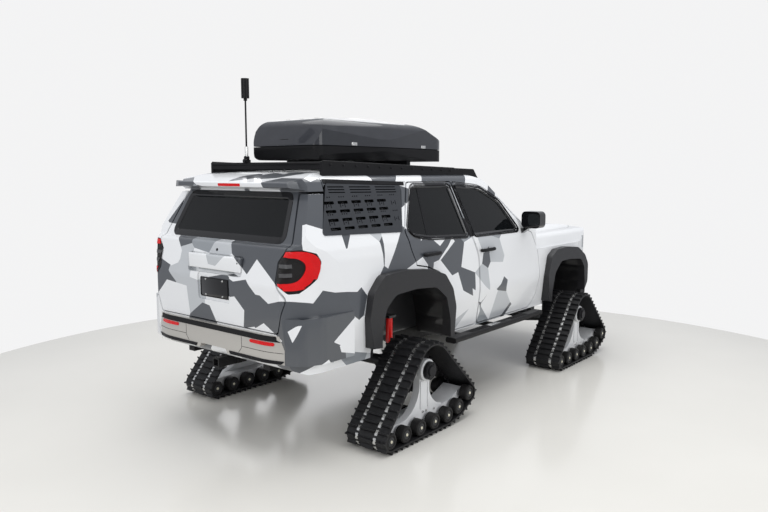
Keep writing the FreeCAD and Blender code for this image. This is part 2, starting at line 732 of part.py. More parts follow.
bumper_front_plan = prism("bumper_front_plan", "XY", both_ways((
    ("half_width - 310", "half_length", 400),
    ("half_width - 40", "half_length - 145", 200),
    ("half_width + 20", "half_length - 485"),
)), "sill - 15", "belt - 440")
front_slab = prism("front_slab", "XY", box_outline("-half_width + 70", "half_width - 70",
                                                   "half_length - 900", "half_length - 120"),
                   "sill - 100", "belt")
intake = prism("intake", "YZ", box_outline("-420", "420", "sill + 90", "sill + 230", 40),
               "half_length - 130", "half_length + 60")
node("front_bumper", cut("front_bumper_cut", bumper_front_plan, hull, front_slab, intake, arches,
                         arches_right, flare_front_ring,
                         mirrored("flare_front_ring_right", flare_front_ring)))

panel_layer = cut("panel_layer", section("panel_outer", -5, -5, "-half_length + 100", "rear_axle + 300"),
                  section("panel_inner", 0, 0, "-half_length + 90", "rear_axle + 310"))
panel_plate = common("panel_plate", panel_layer, side_prism("panel_edge", (
    ("rear_axle + 22", "belt + 92", 20),
    ("rear_axle + 172", "roof - 128", 20),
    ("rear_axle - 700", "roof - 98", 20),
    ("rear_axle - 876", "belt + 124", 20),
)))
panel_slots = patterned(side_prism("panel_slots", box_outline(
    "rear_axle - 780", "rear_axle - 670", "belt + 150", "belt + 172", 8)), 5, 150, 5, 62)
node("side_panels", pair("panel_pair", cut("panel_cut", panel_plate, panel_slots)))

step_tube = prism("step_tube", "YZ", box_outline("half_width - 15", "half_width + 95",
                                                 "sill - 62", "sill - 12", 20),
                  "-700", "front_seam - 110")
step_arms = [prism(f"step_arm_{number}", "YZ", box_outline("rail_half + 35", "half_width - 15",
                                                          "sill - 58", "sill - 22", 6),
                   f"{place} - 25", f"{place} + 25") for number, place in enumerate((-480, 100, 680))]
node("side_steps", pair("step_pair", fuse("step", step_tube, *step_arms)))

mirror_shell = prism("mirror_shell", "YZ", box_outline("half_width - 12", "half_width + 190",
                                                       "belt + 12", "belt + 178", 45),
                     "cowl - 190", "cowl - 70")
mirror_stem = prism("mirror_stem", "YZ", (
    ("half_width - 160", "belt - 45"),
    ("half_width - 25", "belt - 45"),
    ("half_width + 60", "belt + 14"),
    ("half_width + 60", "belt + 60"),
    ("half_width - 15", "belt + 4"),
    ("half_width - 160", "belt + 4"),
), "cowl - 160", "cowl - 90")
mirror = cut("mirror", fuse("mirror_whole", mirror_shell, mirror_stem), hull)
node("mirror_left", mirror)
node("mirror_right", mirrored("mirror_other", mirror))

# ---------------------------------------------------------------- roof rack, box and mast

rack_side = prism("rack_side", "XZ", (
    ("rack_rear", "roof - 100"),
    ("rack_rear", "roof + 64", 8),
    ("cowl - 680", "roof + 10", 30),
    ("cowl - 570", "roof - 110"),
), "rack_half - 12", "rack_half + 12")
rack_bars = [prism(f"rack_bar_{number}", "XZ",
                   box_outline(f"rack_rear + {number} * 290", f"rack_rear + 40 + {number} * 290",
                               f"roof + 36 - {number} * 7.6", f"roof + 60 - {number} * 7.6", 8),
                   "-rack_half + 6", "rack_half - 6") for number in range(8)]
rack_rear_bar = prism("rack_rear_bar", "XZ", box_outline("rack_rear", "rack_rear + 30",
                                                         "roof + 6", "roof + 36"),
                      "-rack_half + 6", "rack_half - 6")
node("roof_rack", cut("rack_cut", fuse("rack_whole", rack_side,
                                       mirrored("rack_side_right", rack_side), rack_rear_bar,
                                       *rack_bars), hull))


def box_side(wall):
    """Side outline of the roof box, drawn in by its wall."""
    return (
        (f"box_rear + 60 + {wall}", f"box_floor + {wall}", 40),
        (f"box_rear + {wall}", "box_split - 10", 60),
        (f"box_rear + 120 + {wall}", f"box_top - 30 - {wall}", 120),
        ("box_rear + 0.35 * box_length", f"box_top - {wall}", 1500),
        ("box_rear + 0.7 * box_length", f"box_top - 25 - {wall}", 700),
        (f"box_rear + box_length - 60 - {wall}", "box_split + 60", 120),
        (f"box_rear + box_length - {wall}", "box_split - 20", 40),
        (f"box_rear + box_length - 120 - {wall}", f"box_floor + {wall}", 60),
    )


def box_plan(wall):
    half = (
        (f"box_half - 30 - {wall}", f"box_rear + {wall}", 90),
        (f"box_half - {wall}", "box_rear + 0.45 * box_length", 2500),
        (f"box_half - 70 - {wall}", "box_rear + box_length - 150", 200),
        (f"box_half - 230 - {wall}", f"box_rear + box_length - {wall}", 120),
    )
    return both_ways(half)


def box_section(wall):
    return both_ways((
        (f"box_half - 60 - {wall}", f"box_floor + {wall}", 40),
        (f"box_half - {wall}", "box_split - 30", 60),
        (f"box_half - {wall}", "box_split + 60", 60),
        (f"box_half - 55 - {wall}", f"box_top - 50 - {wall}", 90),
        (f"box_half - 200 - {wall}", f"box_top - {wall}", 200),
    ))


def box_form(name, wall):
    return common(name, prism(name + "_side", "XZ", box_side(wall), "-600", "600"),
                  prism(name + "_plan", "XY", box_plan(wall), "box_floor - 50", "box_top + 50"),
                  prism(name + "_section", "YZ", box_section(wall), "box_rear - 50",
                        "box_rear + box_length + 50"))


box_shell = cut("box_shell", box_form("box_outer", 0), box_form("box_inner", 6))
box_low = prism("box_low", "XY", box_outline("-700", "700", "box_rear - 50",
                                             "box_rear + box_length + 50"),
                "box_floor - 10", "box_split")
box_high = prism("box_high", "XY", box_outline("-700", "700", "box_rear - 50",
                                               "box_rear + box_length + 50"),
                 "box_split + 6", "box_top + 60")
box_feet = [prism(f"box_foot_{number}", "XZ",
                  box_outline(f"rack_rear + {place} * 290 - 5", f"rack_rear + {place} * 290 + 45",
                              f"roof + 60 - {place} * 7.6", "box_floor + 4", 3),
                  "-box_half + 90", "box_half - 90") for number, place in enumerate((2, 5))]
node("roof_box_base", fuse("box_base_whole", common("box_base", box_shell, box_low), *box_feet))
node("roof_box_lid", common("box_lid", box_shell, box_high))

mast_clamp = prism("mast_clamp", "XY", box_outline("mast_side - 26", "mast_side + 26",
                                                   "rack_rear - 8", "rack_rear + 40", 8),
                   "roof + 60", "roof + 82")
mast_ears = [prism(f"mast_ear_{number}", "YZ", (
    ("mast_side - 14", "roof + 82"),
    ("mast_side - 14", "roof + 112", 12),
    ("mast_side + 14", "roof + 112", 12),
    ("mast_side + 14", "roof + 82"),
), f"rack_rear + 16 + {offset} - 3", f"rack_rear + 16 + {offset} + 3")
    for number, offset in enumerate((-15, 15))]
node("mast_foot", fuse("mast_foot_whole", mast_clamp, *mast_ears))
mast_centre = ("rack_rear + 16", "mast_side")
node("mast", fuse("mast_whole",
                  cylinder("mast_root", "11", "Z", mast_centre, "roof + 88", "roof + 180"),
                  cylinder("mast_rod", "7", "Z", mast_centre, "roof + 170", "mast_top - 140"),
                  cylinder("mast_collar", "14", "Z", mast_centre, "mast_top - 175", "mast_top - 150"),
                  cylinder("mast_head", "32", "Z", mast_centre, "mast_top - 155", "mast_top")))

# ---------------------------------------------------------------- ladder frame and running gear

rail = prism("rail", "XZ", (
    ("-half_length + 130", "sill - 30"),
    ("rear_axle - 250", "sill - 40", 60),
    ("rear_axle + 260", "sill - 40", 80),
    ("rear_axle + 420", "sill - 125", 80),
    ("cowl + 180", "sill - 125", 80),
    ("cowl + 330", "sill - 55", 80),
    ("half_length - 170", "sill - 55"),
    ("half_length - 170", "sill + 35"),
    ("cowl + 330", "sill + 35", 80),
    ("cowl + 180", "sill - 5", 80),
    ("rear_axle + 420", "sill - 5", 80),
    ("rear_axle + 260", "sill + 38", 80),
    ("-half_length + 130", "sill + 38"),
), "rail_half - 35", "rail_half + 35")
cross_places = ((-2250, -10, 30), (-1750, -20, 30), (-880, -30, -5), (250, -125, -95),
                (950, -125, -95), (2240, -45, 30))
crosses = [prism(f"cross_{number}", "XZ",
                 box_outline(f"{place} - 45", f"{place} + 45", f"sill + {low}", f"sill + {high}", 12),
                 "-rail_half", "rail_half")
           for number, (place, low, high) in enumerate(cross_places)]
mounts = [cylinder(f"body_mount_{number}", "38", "Z", (f"{place}", "rail_half"), f"sill + {low}",
                   "sill + 45")
          for number, (place, low) in enumerate(((-2150, 30), (-1650, 30), (-500, -10), (600, -10)))]
receiver = prism("receiver", "YZ", [box_outline("-38", "38", "sill - 66", "sill + 10", 8)],
                 "-half_length + 20", "-half_length + 270")
receiver_bore = prism("receiver_bore", "YZ", box_outline("-25.5", "25.5", "sill - 53.5", "sill - 2.5"),
                      "-half_length", "-half_length + 240")
tower_post = prism("tower_post", "XY", box_outline("rail_half - 30", "rail_half + 30",
                                                   f"{FRONT_AXLE} - 45", f"{FRONT_AXLE} + 45"),
                   "sill + 30", "hub_height + 305")
tower_cap = prism("tower_cap", "XY", box_outline("rail_half - 30", "rail_half + 128",
                                                 f"{FRONT_AXLE} - 50", f"{FRONT_AXLE} + 50", 12),
                  "hub_height + 300", "hub_height + 316")
tower = fuse("tower", tower_post, tower_cap)
receiver_plate = prism("receiver_plate", "YZ", box_outline("-60", "60", "sill - 60", "sill + 30", 6),
                       "-half_length + 190", "-half_length + 270")
ladder = fuse("ladder", rail, mirrored("rail_right", rail), *crosses, *mounts,
              *[mirrored(f"body_mount_right_{number}", item) for number, item in enumerate(mounts)],
              receiver, receiver_plate, tower, mirrored("tower_right", tower))
node("chassis_frame", cut("chassis_cut", ladder, receiver_bore))

rear_axle_centre = ("rear_axle", "hub_height")
axle_tube = cylinder("axle_tube", "45", "Y", rear_axle_centre, "-810", "810")
axle_diff = doc.addObject("Part::Sphere", "axle_diff")
axle_diff.Radius = 130
axle_diff.setExpression("Placement.Base.x", bound("rear_axle"))
axle_diff.setExpression("Placement.Base.z", bound("hub_height"))
stub = cylinder("axle_stub", "35", "Y", rear_axle_centre, "800", "1098")
axle_tab = prism("axle_tab", "XY", box_outline("rail_half + 175", "rail_half + 245",
                                               "rear_axle", "rear_axle + 145", 15),
                 "hub_height + 10", "hub_height + 40")
axle_perch = prism("axle_perch", "XZ", box_outline("rear_axle - 60", "rear_axle + 60",
                                                   "hub_height + 30", "sill - 50", 10),
                   "rail_half - 160", "rail_half - 60")
node("rear_axle", fuse("rear_axle_whole", axle_tube, axle_diff, stub,
                       mirrored("axle_stub_right", stub), axle_perch,
                       mirrored("axle_perch_right", axle_perch), axle_tab,
                       mirrored("axle_tab_right", axle_tab)))

doc.recompute()


def arm_plate(name, height, thick, inner_half):
    return prism(name, "XY", (
        ("rail_half + 35", f"{FRONT_AXLE} - {inner_half}", 10),
        ("kingpin - 30", f"{FRONT_AXLE} - 40", 30),
        ("kingpin + 30", f"{FRONT_AXLE} - 40", 30),
        ("kingpin + 30", f"{FRONT_AXLE} + 40", 30),
        ("kingpin - 30", f"{FRONT_AXLE} + 40", 30),
        ("rail_half + 35", f"{FRONT_AXLE} + {inner_half}", 10),
        ("rail_half + 35", f"{FRONT_AXLE} + {inner_half} - 70", 10),
        ("kingpin - 90", FRONT_AXLE, 12),
        ("rail_half + 35", f"{FRONT_AXLE} - {inner_half} + 70", 10),
    ), height, f"{height} + {thick}")


kingpin_centre = (FRONT_AXLE, "kingpin")
lower_arm = arm_plate("lower_arm", "hub_height - 124", 30, 210)
upper_arm = arm_plate("upper_arm", "hub_height + 142", 18, 140)
lower_hanger = prism("lower_hanger", "XZ", box_outline(f"{FRONT_AXLE} - 210", f"{FRONT_AXLE} + 210",
                                                       "hub_height - 124", "sill - 55", 20),
                     "rail_half + 10", "rail_half + 36")
lower_joint = cylinder("lower_joint", "16", "Z", kingpin_centre, "hub_height - 100",
                       "hub_height - 64.4")
upper_joint = cylinder("upper_joint", "14", "Z", kingpin_centre, "hub_height + 124.4",
                       "hub_height + 150")
damper_foot = prism("damper_foot", "XY", box_outline("rail_half + 55", "rail_half + 105",
                                                     f"{FRONT_AXLE} - 150", f"{FRONT_AXLE} + 150", 12),
                    "hub_height - 96", "hub_height - 82")
suspension = fuse("suspension", lower_arm, lower_hanger, upper_arm, lower_joint, upper_joint,
                  damper_foot)
node("front_suspension", pair("suspension_pair", suspension))

knuckle_post = cylinder("knuckle_post", "42", "Z", kingpin_centre, "hub_height - 90",
                        "hub_height + 136")
knuckle_stub = cylinder("knuckle_stub", "35", "Y", (FRONT_AXLE, "hub_height"), "kingpin", "1098")
knuckle_bore_low = cylinder("knuckle_bore_low", "16.3", "Z", kingpin_centre, "hub_height - 100",
                            "hub_height - 64")
knuckle_bore_high = cylinder("knuckle_bore_high", "14.3", "Z", kingpin_centre, "hub_height + 124",
                             "hub_height + 150")
steer_arm = prism("steer_arm", "XY", (
    ("kingpin - 25", f"{FRONT_AXLE} - 20"),
    ("kingpin - 60", f"{FRONT_AXLE} - 150", 15),
    ("kingpin - 20", f"{FRONT_AXLE} - 150", 15),
    ("kingpin + 25", f"{FRONT_AXLE} - 20"),
), "hub_height - 50", "hub_height - 26")
knuckle = cut("knuckle", fuse("knuckle_whole", knuckle_post, knuckle_stub, steer_arm),
              knuckle_bore_low, knuckle_bore_high)
node("knuckle_left", knuckle)
node("knuckle_right", mirrored("knuckle_other", knuckle))

front_damper_place = (FRONT_AXLE, "rail_half + 80")
damper_low = cylinder("damper_low", "24", "Z", front_damper_place, "hub_height - 82",
                      "hub_height + 110")
damper_spring = cylinder("damper_spring", "40", "Z", front_damper_place, "hub_height + 40",
                         "hub_height + 300")
rear_damper_place = ("rear_axle + 105", "rail_half + 212")
rear_damper_rod = cylinder("rear_damper_rod", "12", "Z", rear_damper_place, "hub_height + 40",
                           "hub_height + 130")
rear_damper = cylinder("rear_damper", "29", "Z", rear_damper_place, "hub_height + 120",
                       "hub_height + 350")
rear_damper_cap = prism("rear_damper_cap", "XY", box_outline(
    "half_width - 315", "rail_half + 250", "rear_axle + 60", "rear_axle + 150"),
    "hub_height + 345", "hub_height + 365")
rear_spring = cylinder("rear_spring", "55", "Z", ("rear_axle", "rail_half - 110"),
                       "sill - 50", "sill + 45")
node("dampers", group("damper_set",
                      fuse("damper_front", damper_low, damper_spring),
                      mirrored("damper_front_right", fuse("damper_front_twin", damper_low,
                                                          damper_spring)),
                      fuse("damper_rear", rear_damper, rear_damper_rod, rear_damper_cap),
                      mirrored("damper_rear_right", fuse("damper_rear_twin", rear_damper,
                                                         rear_damper_rod, rear_damper_cap)),
                      rear_spring, mirrored("rear_spring_right", rear_spring)))

node("engine_block", fuse("engine_whole",
                          prism("engine_sides", "YZ", (
                              ("-130", "sill - 95", 20), ("-290", "belt - 250", 40),
                              ("-200", "belt - 160", 40), ("200", "belt - 160", 40),
                              ("290", "belt - 250", 40), ("130", "sill - 95", 20)),
                              f"{FRONT_AXLE} - 330", f"{FRONT_AXLE} + 330")))
driveline_box = prism("driveline_box", "YZ", (
    ("-150", "sill - 90", 30), ("-170", "sill + 20", 40), ("170", "sill + 20", 40),
    ("150", "sill - 90", 30)), "150", "cowl + 430")
prop_shaft = cylinder("prop_shaft", "32", "X", ("0", "hub_height + 70"), "rear_axle + 100", "160")
node("driveline", cut("driveline_cut", fuse("driveline_whole", driveline_box, prop_shaft),
                      axle_diff))

node("fuel_tank", prism("fuel_tank_body", "YZ", (
    ("rail_half - 410", "sill - 110", 40), ("rail_half - 60", "sill - 110", 40),
    ("rail_half - 60", "sill + 30", 30), ("rail_half - 410", "sill + 30", 30)),
    "rear_axle + 480", "rear_axle + 1150"))
muffler = prism("muffler", "YZ", (
    ("-rail_half + 70", "sill - 90", 60), ("-rail_half + 290", "sill - 90", 60),
    ("-rail_half + 290", "sill + 30", 55), ("-rail_half + 70", "sill + 30", 55)),
    "rear_axle + 460", "rear_axle + 900")
pipe = cylinder("pipe", "26", "X", ("-rail_half + 180", "sill - 30"), "rear_axle + 890", "cowl - 300")
node("exhaust", fuse("exhaust_whole", muffler, pipe))

# ---------------------------------------------------------------- cabin fittings

def seat(name, place, half, side_low, side_high):
    """Cushion, back and head restraint as one soft solid."""
    outline = (
        (f"{place} + 480", "sill + 260", 40),
        (f"{place} + 470", "sill + 400", 60),
        (f"{place} + 120", "sill + 380", 60),
        (f"{place} - 90", "belt - 20", 60),
        (f"{place} - 100", "belt + 90", 40),
        (f"{place} - 200", "belt + 100", 40),
        (f"{place} - 190", "belt - 60", 60),
        (f"{place} - 60", "sill + 250", 60),
    )
    return prism(name, "XZ", outline, side_low, side_high)


seat_front = seat("seat_front", "80", 240, "110", "640")
seat_rear = seat("seat_rear", "-830", 240, "-570", "570")
seat_base = prism("seat_base", "XZ", box_outline("80 + 20", "80 + 430", "sill + 95", "sill + 270", 20),
                  "160", "590")
bench_base = prism("bench_base", "XZ", box_outline("-830", "-830 + 430", "sill + 95", "sill + 270", 20),
                   "-560", "560")
front_seat_whole = fuse("front_seat_whole", seat_front, seat_base)
node("seats", group("seat_set", front_seat_whole, mirrored("seat_right", front_seat_whole),
                    fuse("bench_whole", seat_rear, bench_base)))

dash_body = prism("dash_body", "XZ", (
    ("cowl - 60", "belt - 300"), ("cowl - 60", "belt - 60", 10), ("cowl - 200", "belt - 20", 60),
    ("cowl - 330", "belt - 80", 60), ("cowl - 290", "belt - 300", 40)),
    "-half_width + 110", "half_width - 110")
wheel_rim = doc.addObject("Part::Torus", "wheel_rim")
wheel_rim.Radius1 = 180
wheel_rim.Radius2 = 14
wheel_rim.Placement = FreeCAD.Placement(Vector(value("cowl - 420"), 380, value("belt - 90")),
                                        FreeCAD.Rotation(Vector(0, 1, 0), -65))
wheel_column = cylinder("wheel_column", "32", "X", ("380", "belt - 92"), "cowl - 430", "cowl - 300")
wheel_bar = prism("wheel_bar", "XZ", box_outline("cowl - 432", "cowl - 408", "belt - 112",
                                                 "belt - 70", 6), "205", "555")
node("dashboard", fuse("dash_whole", dash_body, wheel_rim, wheel_column, wheel_bar))

# ---------------------------------------------------------------- track units

def wheel_circles():
    """(x, z, radius) of the belt's wheels round a unit at x = 0, in belt order from the back."""
    size = value("roller_size")
    low = value("roller_size + belt_thick + lug_height")
    gap = value("roller_gap")
    back = -2.845 * gap
    ground = [(back + step * gap, low, size) for step in range(5)]
    nose = [(2.0 * gap, low + 30, size), (2.83 * gap, low + 110, size)]
    top = [(0.0, value("hub_height"), value("sprocket_size"))]
    return ground + nose + top


def tangent(first, second, grow):
    """Ends of the belt's straight run on the right of the way from first to second circle."""
    (x1, z1, r1), (x2, z2, r2) = first, second
    run = math.hypot(x2 - x1, z2 - z1)
    heading = math.atan2(z2 - z1, x2 - x1)
    lean = math.asin((r1 - r2) / run)
    out = heading - math.pi / 2 + lean
    normal = (math.cos(out), math.sin(out))
    return ((x1 + normal[0] * (r1 + grow), z1 + normal[1] * (r1 + grow)),
            (x2 + normal[0] * (r2 + grow), z2 + normal[1] * (r2 + grow)))


def belt_loop(grow):
    """Belt line at a height over the wheels: list of ("run" or "bend", start, end, centre)."""
    circles = [wheel_circles()[index] for index in (0, 4, 5, 6, 7)]
    runs = [tangent(circles[index], circles[(index + 1) % 5], grow) for index in range(5)]
    loop = []
    for index, (start, end) in enumerate(runs):
        centre = circles[(index + 1) % 5]
        loop.append(("run", start, end, None))
        loop.append(("bend", end, runs[(index + 1) % 5][0], centre))
    return loop


def spin(point, centre, angle):
    dx, dz = point[0] - centre[0], point[1] - centre[1]
    return (centre[0] + dx * math.cos(angle) - dz * math.sin(angle),
            centre[1] + dx * math.sin(angle) + dz * math.cos(angle))


def bend_angle(start, end, centre):
    first = math.atan2(start[1] - centre[1], start[0] - centre[0])
    last = math.atan2(end[1] - centre[1], end[0] - centre[0])
    return (last - first) % (2 * math.pi)


def belt_wire(grow):
    edges = []
    for kind, start, end, centre in belt_loop(grow):
        a, b = Vector(start[0], 0, start[1]), Vector(end[0], 0, end[1])
        if kind == "run":
            edges.append(Part.LineSegment(a, b).toShape())
        else:
            middle = spin(start, centre, bend_angle(start, end, centre) / 2)
            edges.append(Part.Arc(a, Vector(middle[0], 0, middle[1]), b).toShape())
    return Part.Wire(edges)


def belt_place(distance, grow):
    """Point and outward direction on the belt line at a distance along it."""
    for kind, start, end, centre in belt_loop(grow):
        if kind == "run":
            length = math.hypot(end[0] - start[0], end[1] - start[1])
            if distance <= length:
                share = distance / length
                point = (start[0] + share * (end[0] - start[0]), start[1] + share * (end[1] - start[1]))
                return point, ((end[1] - start[1]) / length, -(end[0] - start[0]) / length)
        else:
            size = centre[2] + grow
            length = bend_angle(start, end, centre) * size
            if distance <= length:
                point = spin(start, centre, distance / size)
                return point, ((point[0] - centre[0]) / size, (point[1] - centre[1]) / size)
        distance -= length
    raise ValueError("past the end of the belt")


def belt_length(grow):
    return belt_wire(grow).Length


def lug(distance, low, high):
    """One lug of the belt, a tapered bar from y = low to high."""
    thick, tall = value("belt_thick"), value("lug_height")
    (x, z), (nx, nz) = belt_place(distance, thick)
    tx, tz = -nz, nx
    foot, crest = 21, 13
    corners = [(-foot, -2), (foot, -2), (crest, tall), (-crest, tall)]
    ring = [Vector(x + tx * along + nx * out, low, z + tz * along + nz * out)
            for along, out in corners]
    return Part.Face(Part.makePolygon(ring + ring[:1])).extrude(Vector(0, high - low, 0))


def belt_shape():
    """Endless belt with two staggered rows of lugs, for a left-hand unit at x = 0."""
    inner, outer = value("track_inner"), value("track_outer")
    width = Vector(0, outer - inner, 0)
    thick = value("belt_thick")
    band = Part.Face(belt_wire(thick)).extrude(width).cut(Part.Face(belt_wire(0)).extrude(width))
    band.translate(Vector(0, inner, 0))
    total = belt_length(thick)
    count = round(total / value("lug_pitch"))
    middle = (inner + outer) / 2
    lugs = []
    for index in range(count):
        lugs.append(lug((index + 0.25) * total / count, inner, middle + 20))
        lugs.append(lug((index + 0.75) * total / count, middle - 20, outer))
    return band.fuse(lugs).removeSplitter()


def unit_place(axle):
    return FreeCAD.Placement(Vector(value(axle), 0, 0), FreeCAD.Rotation())


def roller_shape():
    """Rollers on both sides of the beam, the sprocket and the hub cap."""
    circles = wheel_circles()
    inner, outer = value("track_inner"), value("track_outer")
    solids = []
    for x, z, size in circles[:-1]:
        for low in (inner + 14, outer - 74):
            tyre = Part.makeCylinder(size - 0.5, 60, Vector(x, low, z), Vector(0, 1, 0))
            hub = Part.makeCylinder(22, 62, Vector(x, low - 1, z), Vector(0, 1, 0))
            solids.append(tyre.fuse(hub))
        solids.append(Part.makeCylinder(14, outer - inner - 140, Vector(x, inner + 70, z),
                                        Vector(0, 1, 0)))
    return solids


def sprocket_shape():
    x, z, size = wheel_circles()[-1]
    inner, outer = value("track_inner"), value("track_outer")
    centre = Vector(x, 0, z)
    discs = []
    for low in (inner + 82, inner + 176):
        disc = Part.makeCylinder(size - 14, 14, Vector(x, low, z), Vector(0, 1, 0))
        hole = Part.makeCylinder(75, 14, Vector(x, low, z), Vector(0, 1, 0))
        discs.append(disc.cut(hole))
    bars = []
    for index in range(16):
        angle = 2 * math.pi * index / 16
        bars.append(Part.makeCylinder(11, 108, Vector(x + (size - 12) * math.cos(angle), inner + 82,
                                                      z + (size - 12) * math.sin(angle)),
                                      Vector(0, 1, 0)))
    drum = Part.makeCylinder(100, 108, Vector(x, inner + 82, z), Vector(0, 1, 0)).cut(
        Part.makeCylinder(75, 108, Vector(x, inner + 82, z), Vector(0, 1, 0)))
    cap = Part.makeCylinder(72, 66, Vector(x, outer - 100, z), Vector(0, 1, 0))
    return discs[0].fuse(discs[1:] + bars + [drum]), cap


def frame_shape():
    """Cast undercarriage: hub sleeve, leg and the beam that carries the roller axles."""
    circles = wheel_circles()
    inner, outer = value("track_inner"), value("track_outer")
    hub = value("hub_height")
    low = circles[0][1]
    back, front = circles[0][0], circles[4][0]
    nose_low, nose = circles[5], circles[6]
    beam_outline = [(back - 40, low - 24), (front + 20, low - 24), (nose_low[0] + 10, nose_low[1] - 26),
                    (nose[0] + 34, nose[1] - 16), (nose[0] + 10, nose[1] + 36),
                    (nose_low[0] - 20, nose_low[1] + 48), (front - 40, low + 62),
                    (back + 60, low + 62), (back - 46, low + 26)]
    ring = [Vector(x, inner + 100, z) for x, z in beam_outline]
    beam = Part.Face(Part.makePolygon(ring + ring[:1])).extrude(Vector(0, outer - inner - 200, 0))
    leg_side, leg_foot = outer - 162, low + 30
    # The leg flares into the beam with a hollow curve on each side.
    leg_corners = [(-64, hub), (-64, low + 330), (-300, low + 60), (-300, leg_foot), (236, leg_foot),
                   (236, low + 84), (64, low + 310), (64, hub)]
    leg_bends = {1: (-112, low + 160), 5: (98, low + 168)}
    spots = [Vector(x, leg_side, z) for x, z in leg_corners]
    leg_edges = []
    for index, spot in enumerate(spots):
        following = spots[(index + 1) % len(spots)]
        if index in leg_bends:
            through = Vector(leg_bends[index][0], leg_side, leg_bends[index][1])
            leg_edges.append(Part.Arc(spot, through, following).toShape())
        else:
            leg_edges.append(Part.LineSegment(spot, following).toShape())
    leg = Part.Face(Part.Wire(leg_edges)).extrude(Vector(0, 62, 0))
    sleeve = Part.makeCylinder(74.5, outer - inner - 182, Vector(0, inner + 82, hub),
                               Vector(0, 1, 0))
    collar = Part.makeCylinder(88, outer - inner - 300, Vector(0, inner + 200, hub),
                               Vector(0, 1, 0))
    bore = Part.makeCylinder(35.3, 400, Vector(0, inner - 10, hub), Vector(0, 1, 0))
    body = beam.fuse([leg, sleeve, collar]).cut(bore)
    axles = [Part.makeCylinder(14, 400, Vector(x, inner + 10, z), Vector(0, 1, 0))
             for x, z, _ in circles[:-1]]
    return body.cut(Part.makeCompound(axles)).removeSplitter()


belt_solid = belt_shape()
roller_solids = roller_shape()
sprocket_solid, cap_solid = sprocket_shape()
frame_solid = frame_shape()
for end, axle in (("front", FRONT_AXLE), ("rear", "rear_axle")):
    for hand in ("left", "right"):
        for part_name, shape in (("track", belt_solid), ("track_frame", frame_solid),
                                 ("track_rollers", Part.makeCompound(roller_solids)),
                                 ("sprocket", Part.makeCompound([sprocket_solid, cap_solid]))):
            piece = shape if hand == "left" else shape.mirror(Vector(), Vector(0, 1, 0))
            item = shaped(f"{part_name}_{end}_{hand}", piece)
            item.Placement = unit_place(axle)
            node(f"{part_name}_{end}_{hand}", item)

# ---------------------------------------------------------------- check and write

doc.recompute()
failed = [item.Name for item in doc.Objects if {"Invalid", "Error"} & set(item.State)]
if failed:
    raise SystemExit("failed objects: " + ", ".join(failed))
os.makedirs("parts", exist_ok=True)
for label, item in nodes.items():
    shape = item.Shape
    if shape.isNull() or not shape.isValid():
        raise SystemExit(f"{label} has no valid shape")
    shape.exportStep(f"parts/{label}.step")
    print(f"{label}: {len(shape.Solids)} solids, {shape.Volume / 1e9:.4f} m3")
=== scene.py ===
"""Visual model of a tracked estate vehicle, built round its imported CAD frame."""

import json
import logging
import math
from dataclasses import dataclass, field
from enum import Enum
from typing import Callable, Iterable, Sequence

import bmesh
import bpy
from mathutils import Matrix, Vector
from mathutils.bvhtree import BVHTree

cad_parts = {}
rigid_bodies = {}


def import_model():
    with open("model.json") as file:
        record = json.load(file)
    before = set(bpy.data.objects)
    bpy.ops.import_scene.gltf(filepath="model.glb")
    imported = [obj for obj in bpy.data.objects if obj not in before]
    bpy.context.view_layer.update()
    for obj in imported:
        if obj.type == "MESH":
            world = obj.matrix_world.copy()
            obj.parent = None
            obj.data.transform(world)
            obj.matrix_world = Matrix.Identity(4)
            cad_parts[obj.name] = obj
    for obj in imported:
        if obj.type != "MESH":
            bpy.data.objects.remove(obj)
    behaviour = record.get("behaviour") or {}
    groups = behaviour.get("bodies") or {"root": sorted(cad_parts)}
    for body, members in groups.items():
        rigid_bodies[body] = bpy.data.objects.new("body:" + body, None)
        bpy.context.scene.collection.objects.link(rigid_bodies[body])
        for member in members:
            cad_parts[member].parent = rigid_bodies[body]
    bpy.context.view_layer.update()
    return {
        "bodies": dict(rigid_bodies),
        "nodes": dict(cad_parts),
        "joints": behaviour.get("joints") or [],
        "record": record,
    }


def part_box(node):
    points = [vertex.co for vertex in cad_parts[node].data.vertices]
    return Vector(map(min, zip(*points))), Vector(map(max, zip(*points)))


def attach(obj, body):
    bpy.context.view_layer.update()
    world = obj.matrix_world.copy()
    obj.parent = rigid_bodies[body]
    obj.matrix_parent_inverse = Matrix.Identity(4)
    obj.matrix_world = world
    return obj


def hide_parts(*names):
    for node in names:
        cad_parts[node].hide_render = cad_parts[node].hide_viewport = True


LOG = logging.getLogger("tracked_vehicle")
Place = Callable[[float, float], tuple[Vector, Vector]]
Colour = tuple[float, float, float]
Line = Sequence[tuple[float, float]]
HANDS = {"left": 1.0, "right": -1.0}
STRIP_FOOT = 0.002  # depth of a strip's foot in its surface
PLATE_FOOT = 0.003  # depth of a plate's foot in its surface
BACKWARD = (-1, 0, 0)
OUTWARD = (0, 1, 0)
UPWARD = (0, 0, 1)


class Fill(Enum):
    """How full a seat pad is."""

    FIRM = 0.9
    MEDIUM = 0.75


# ---------------------------------------------------------------- shader maths


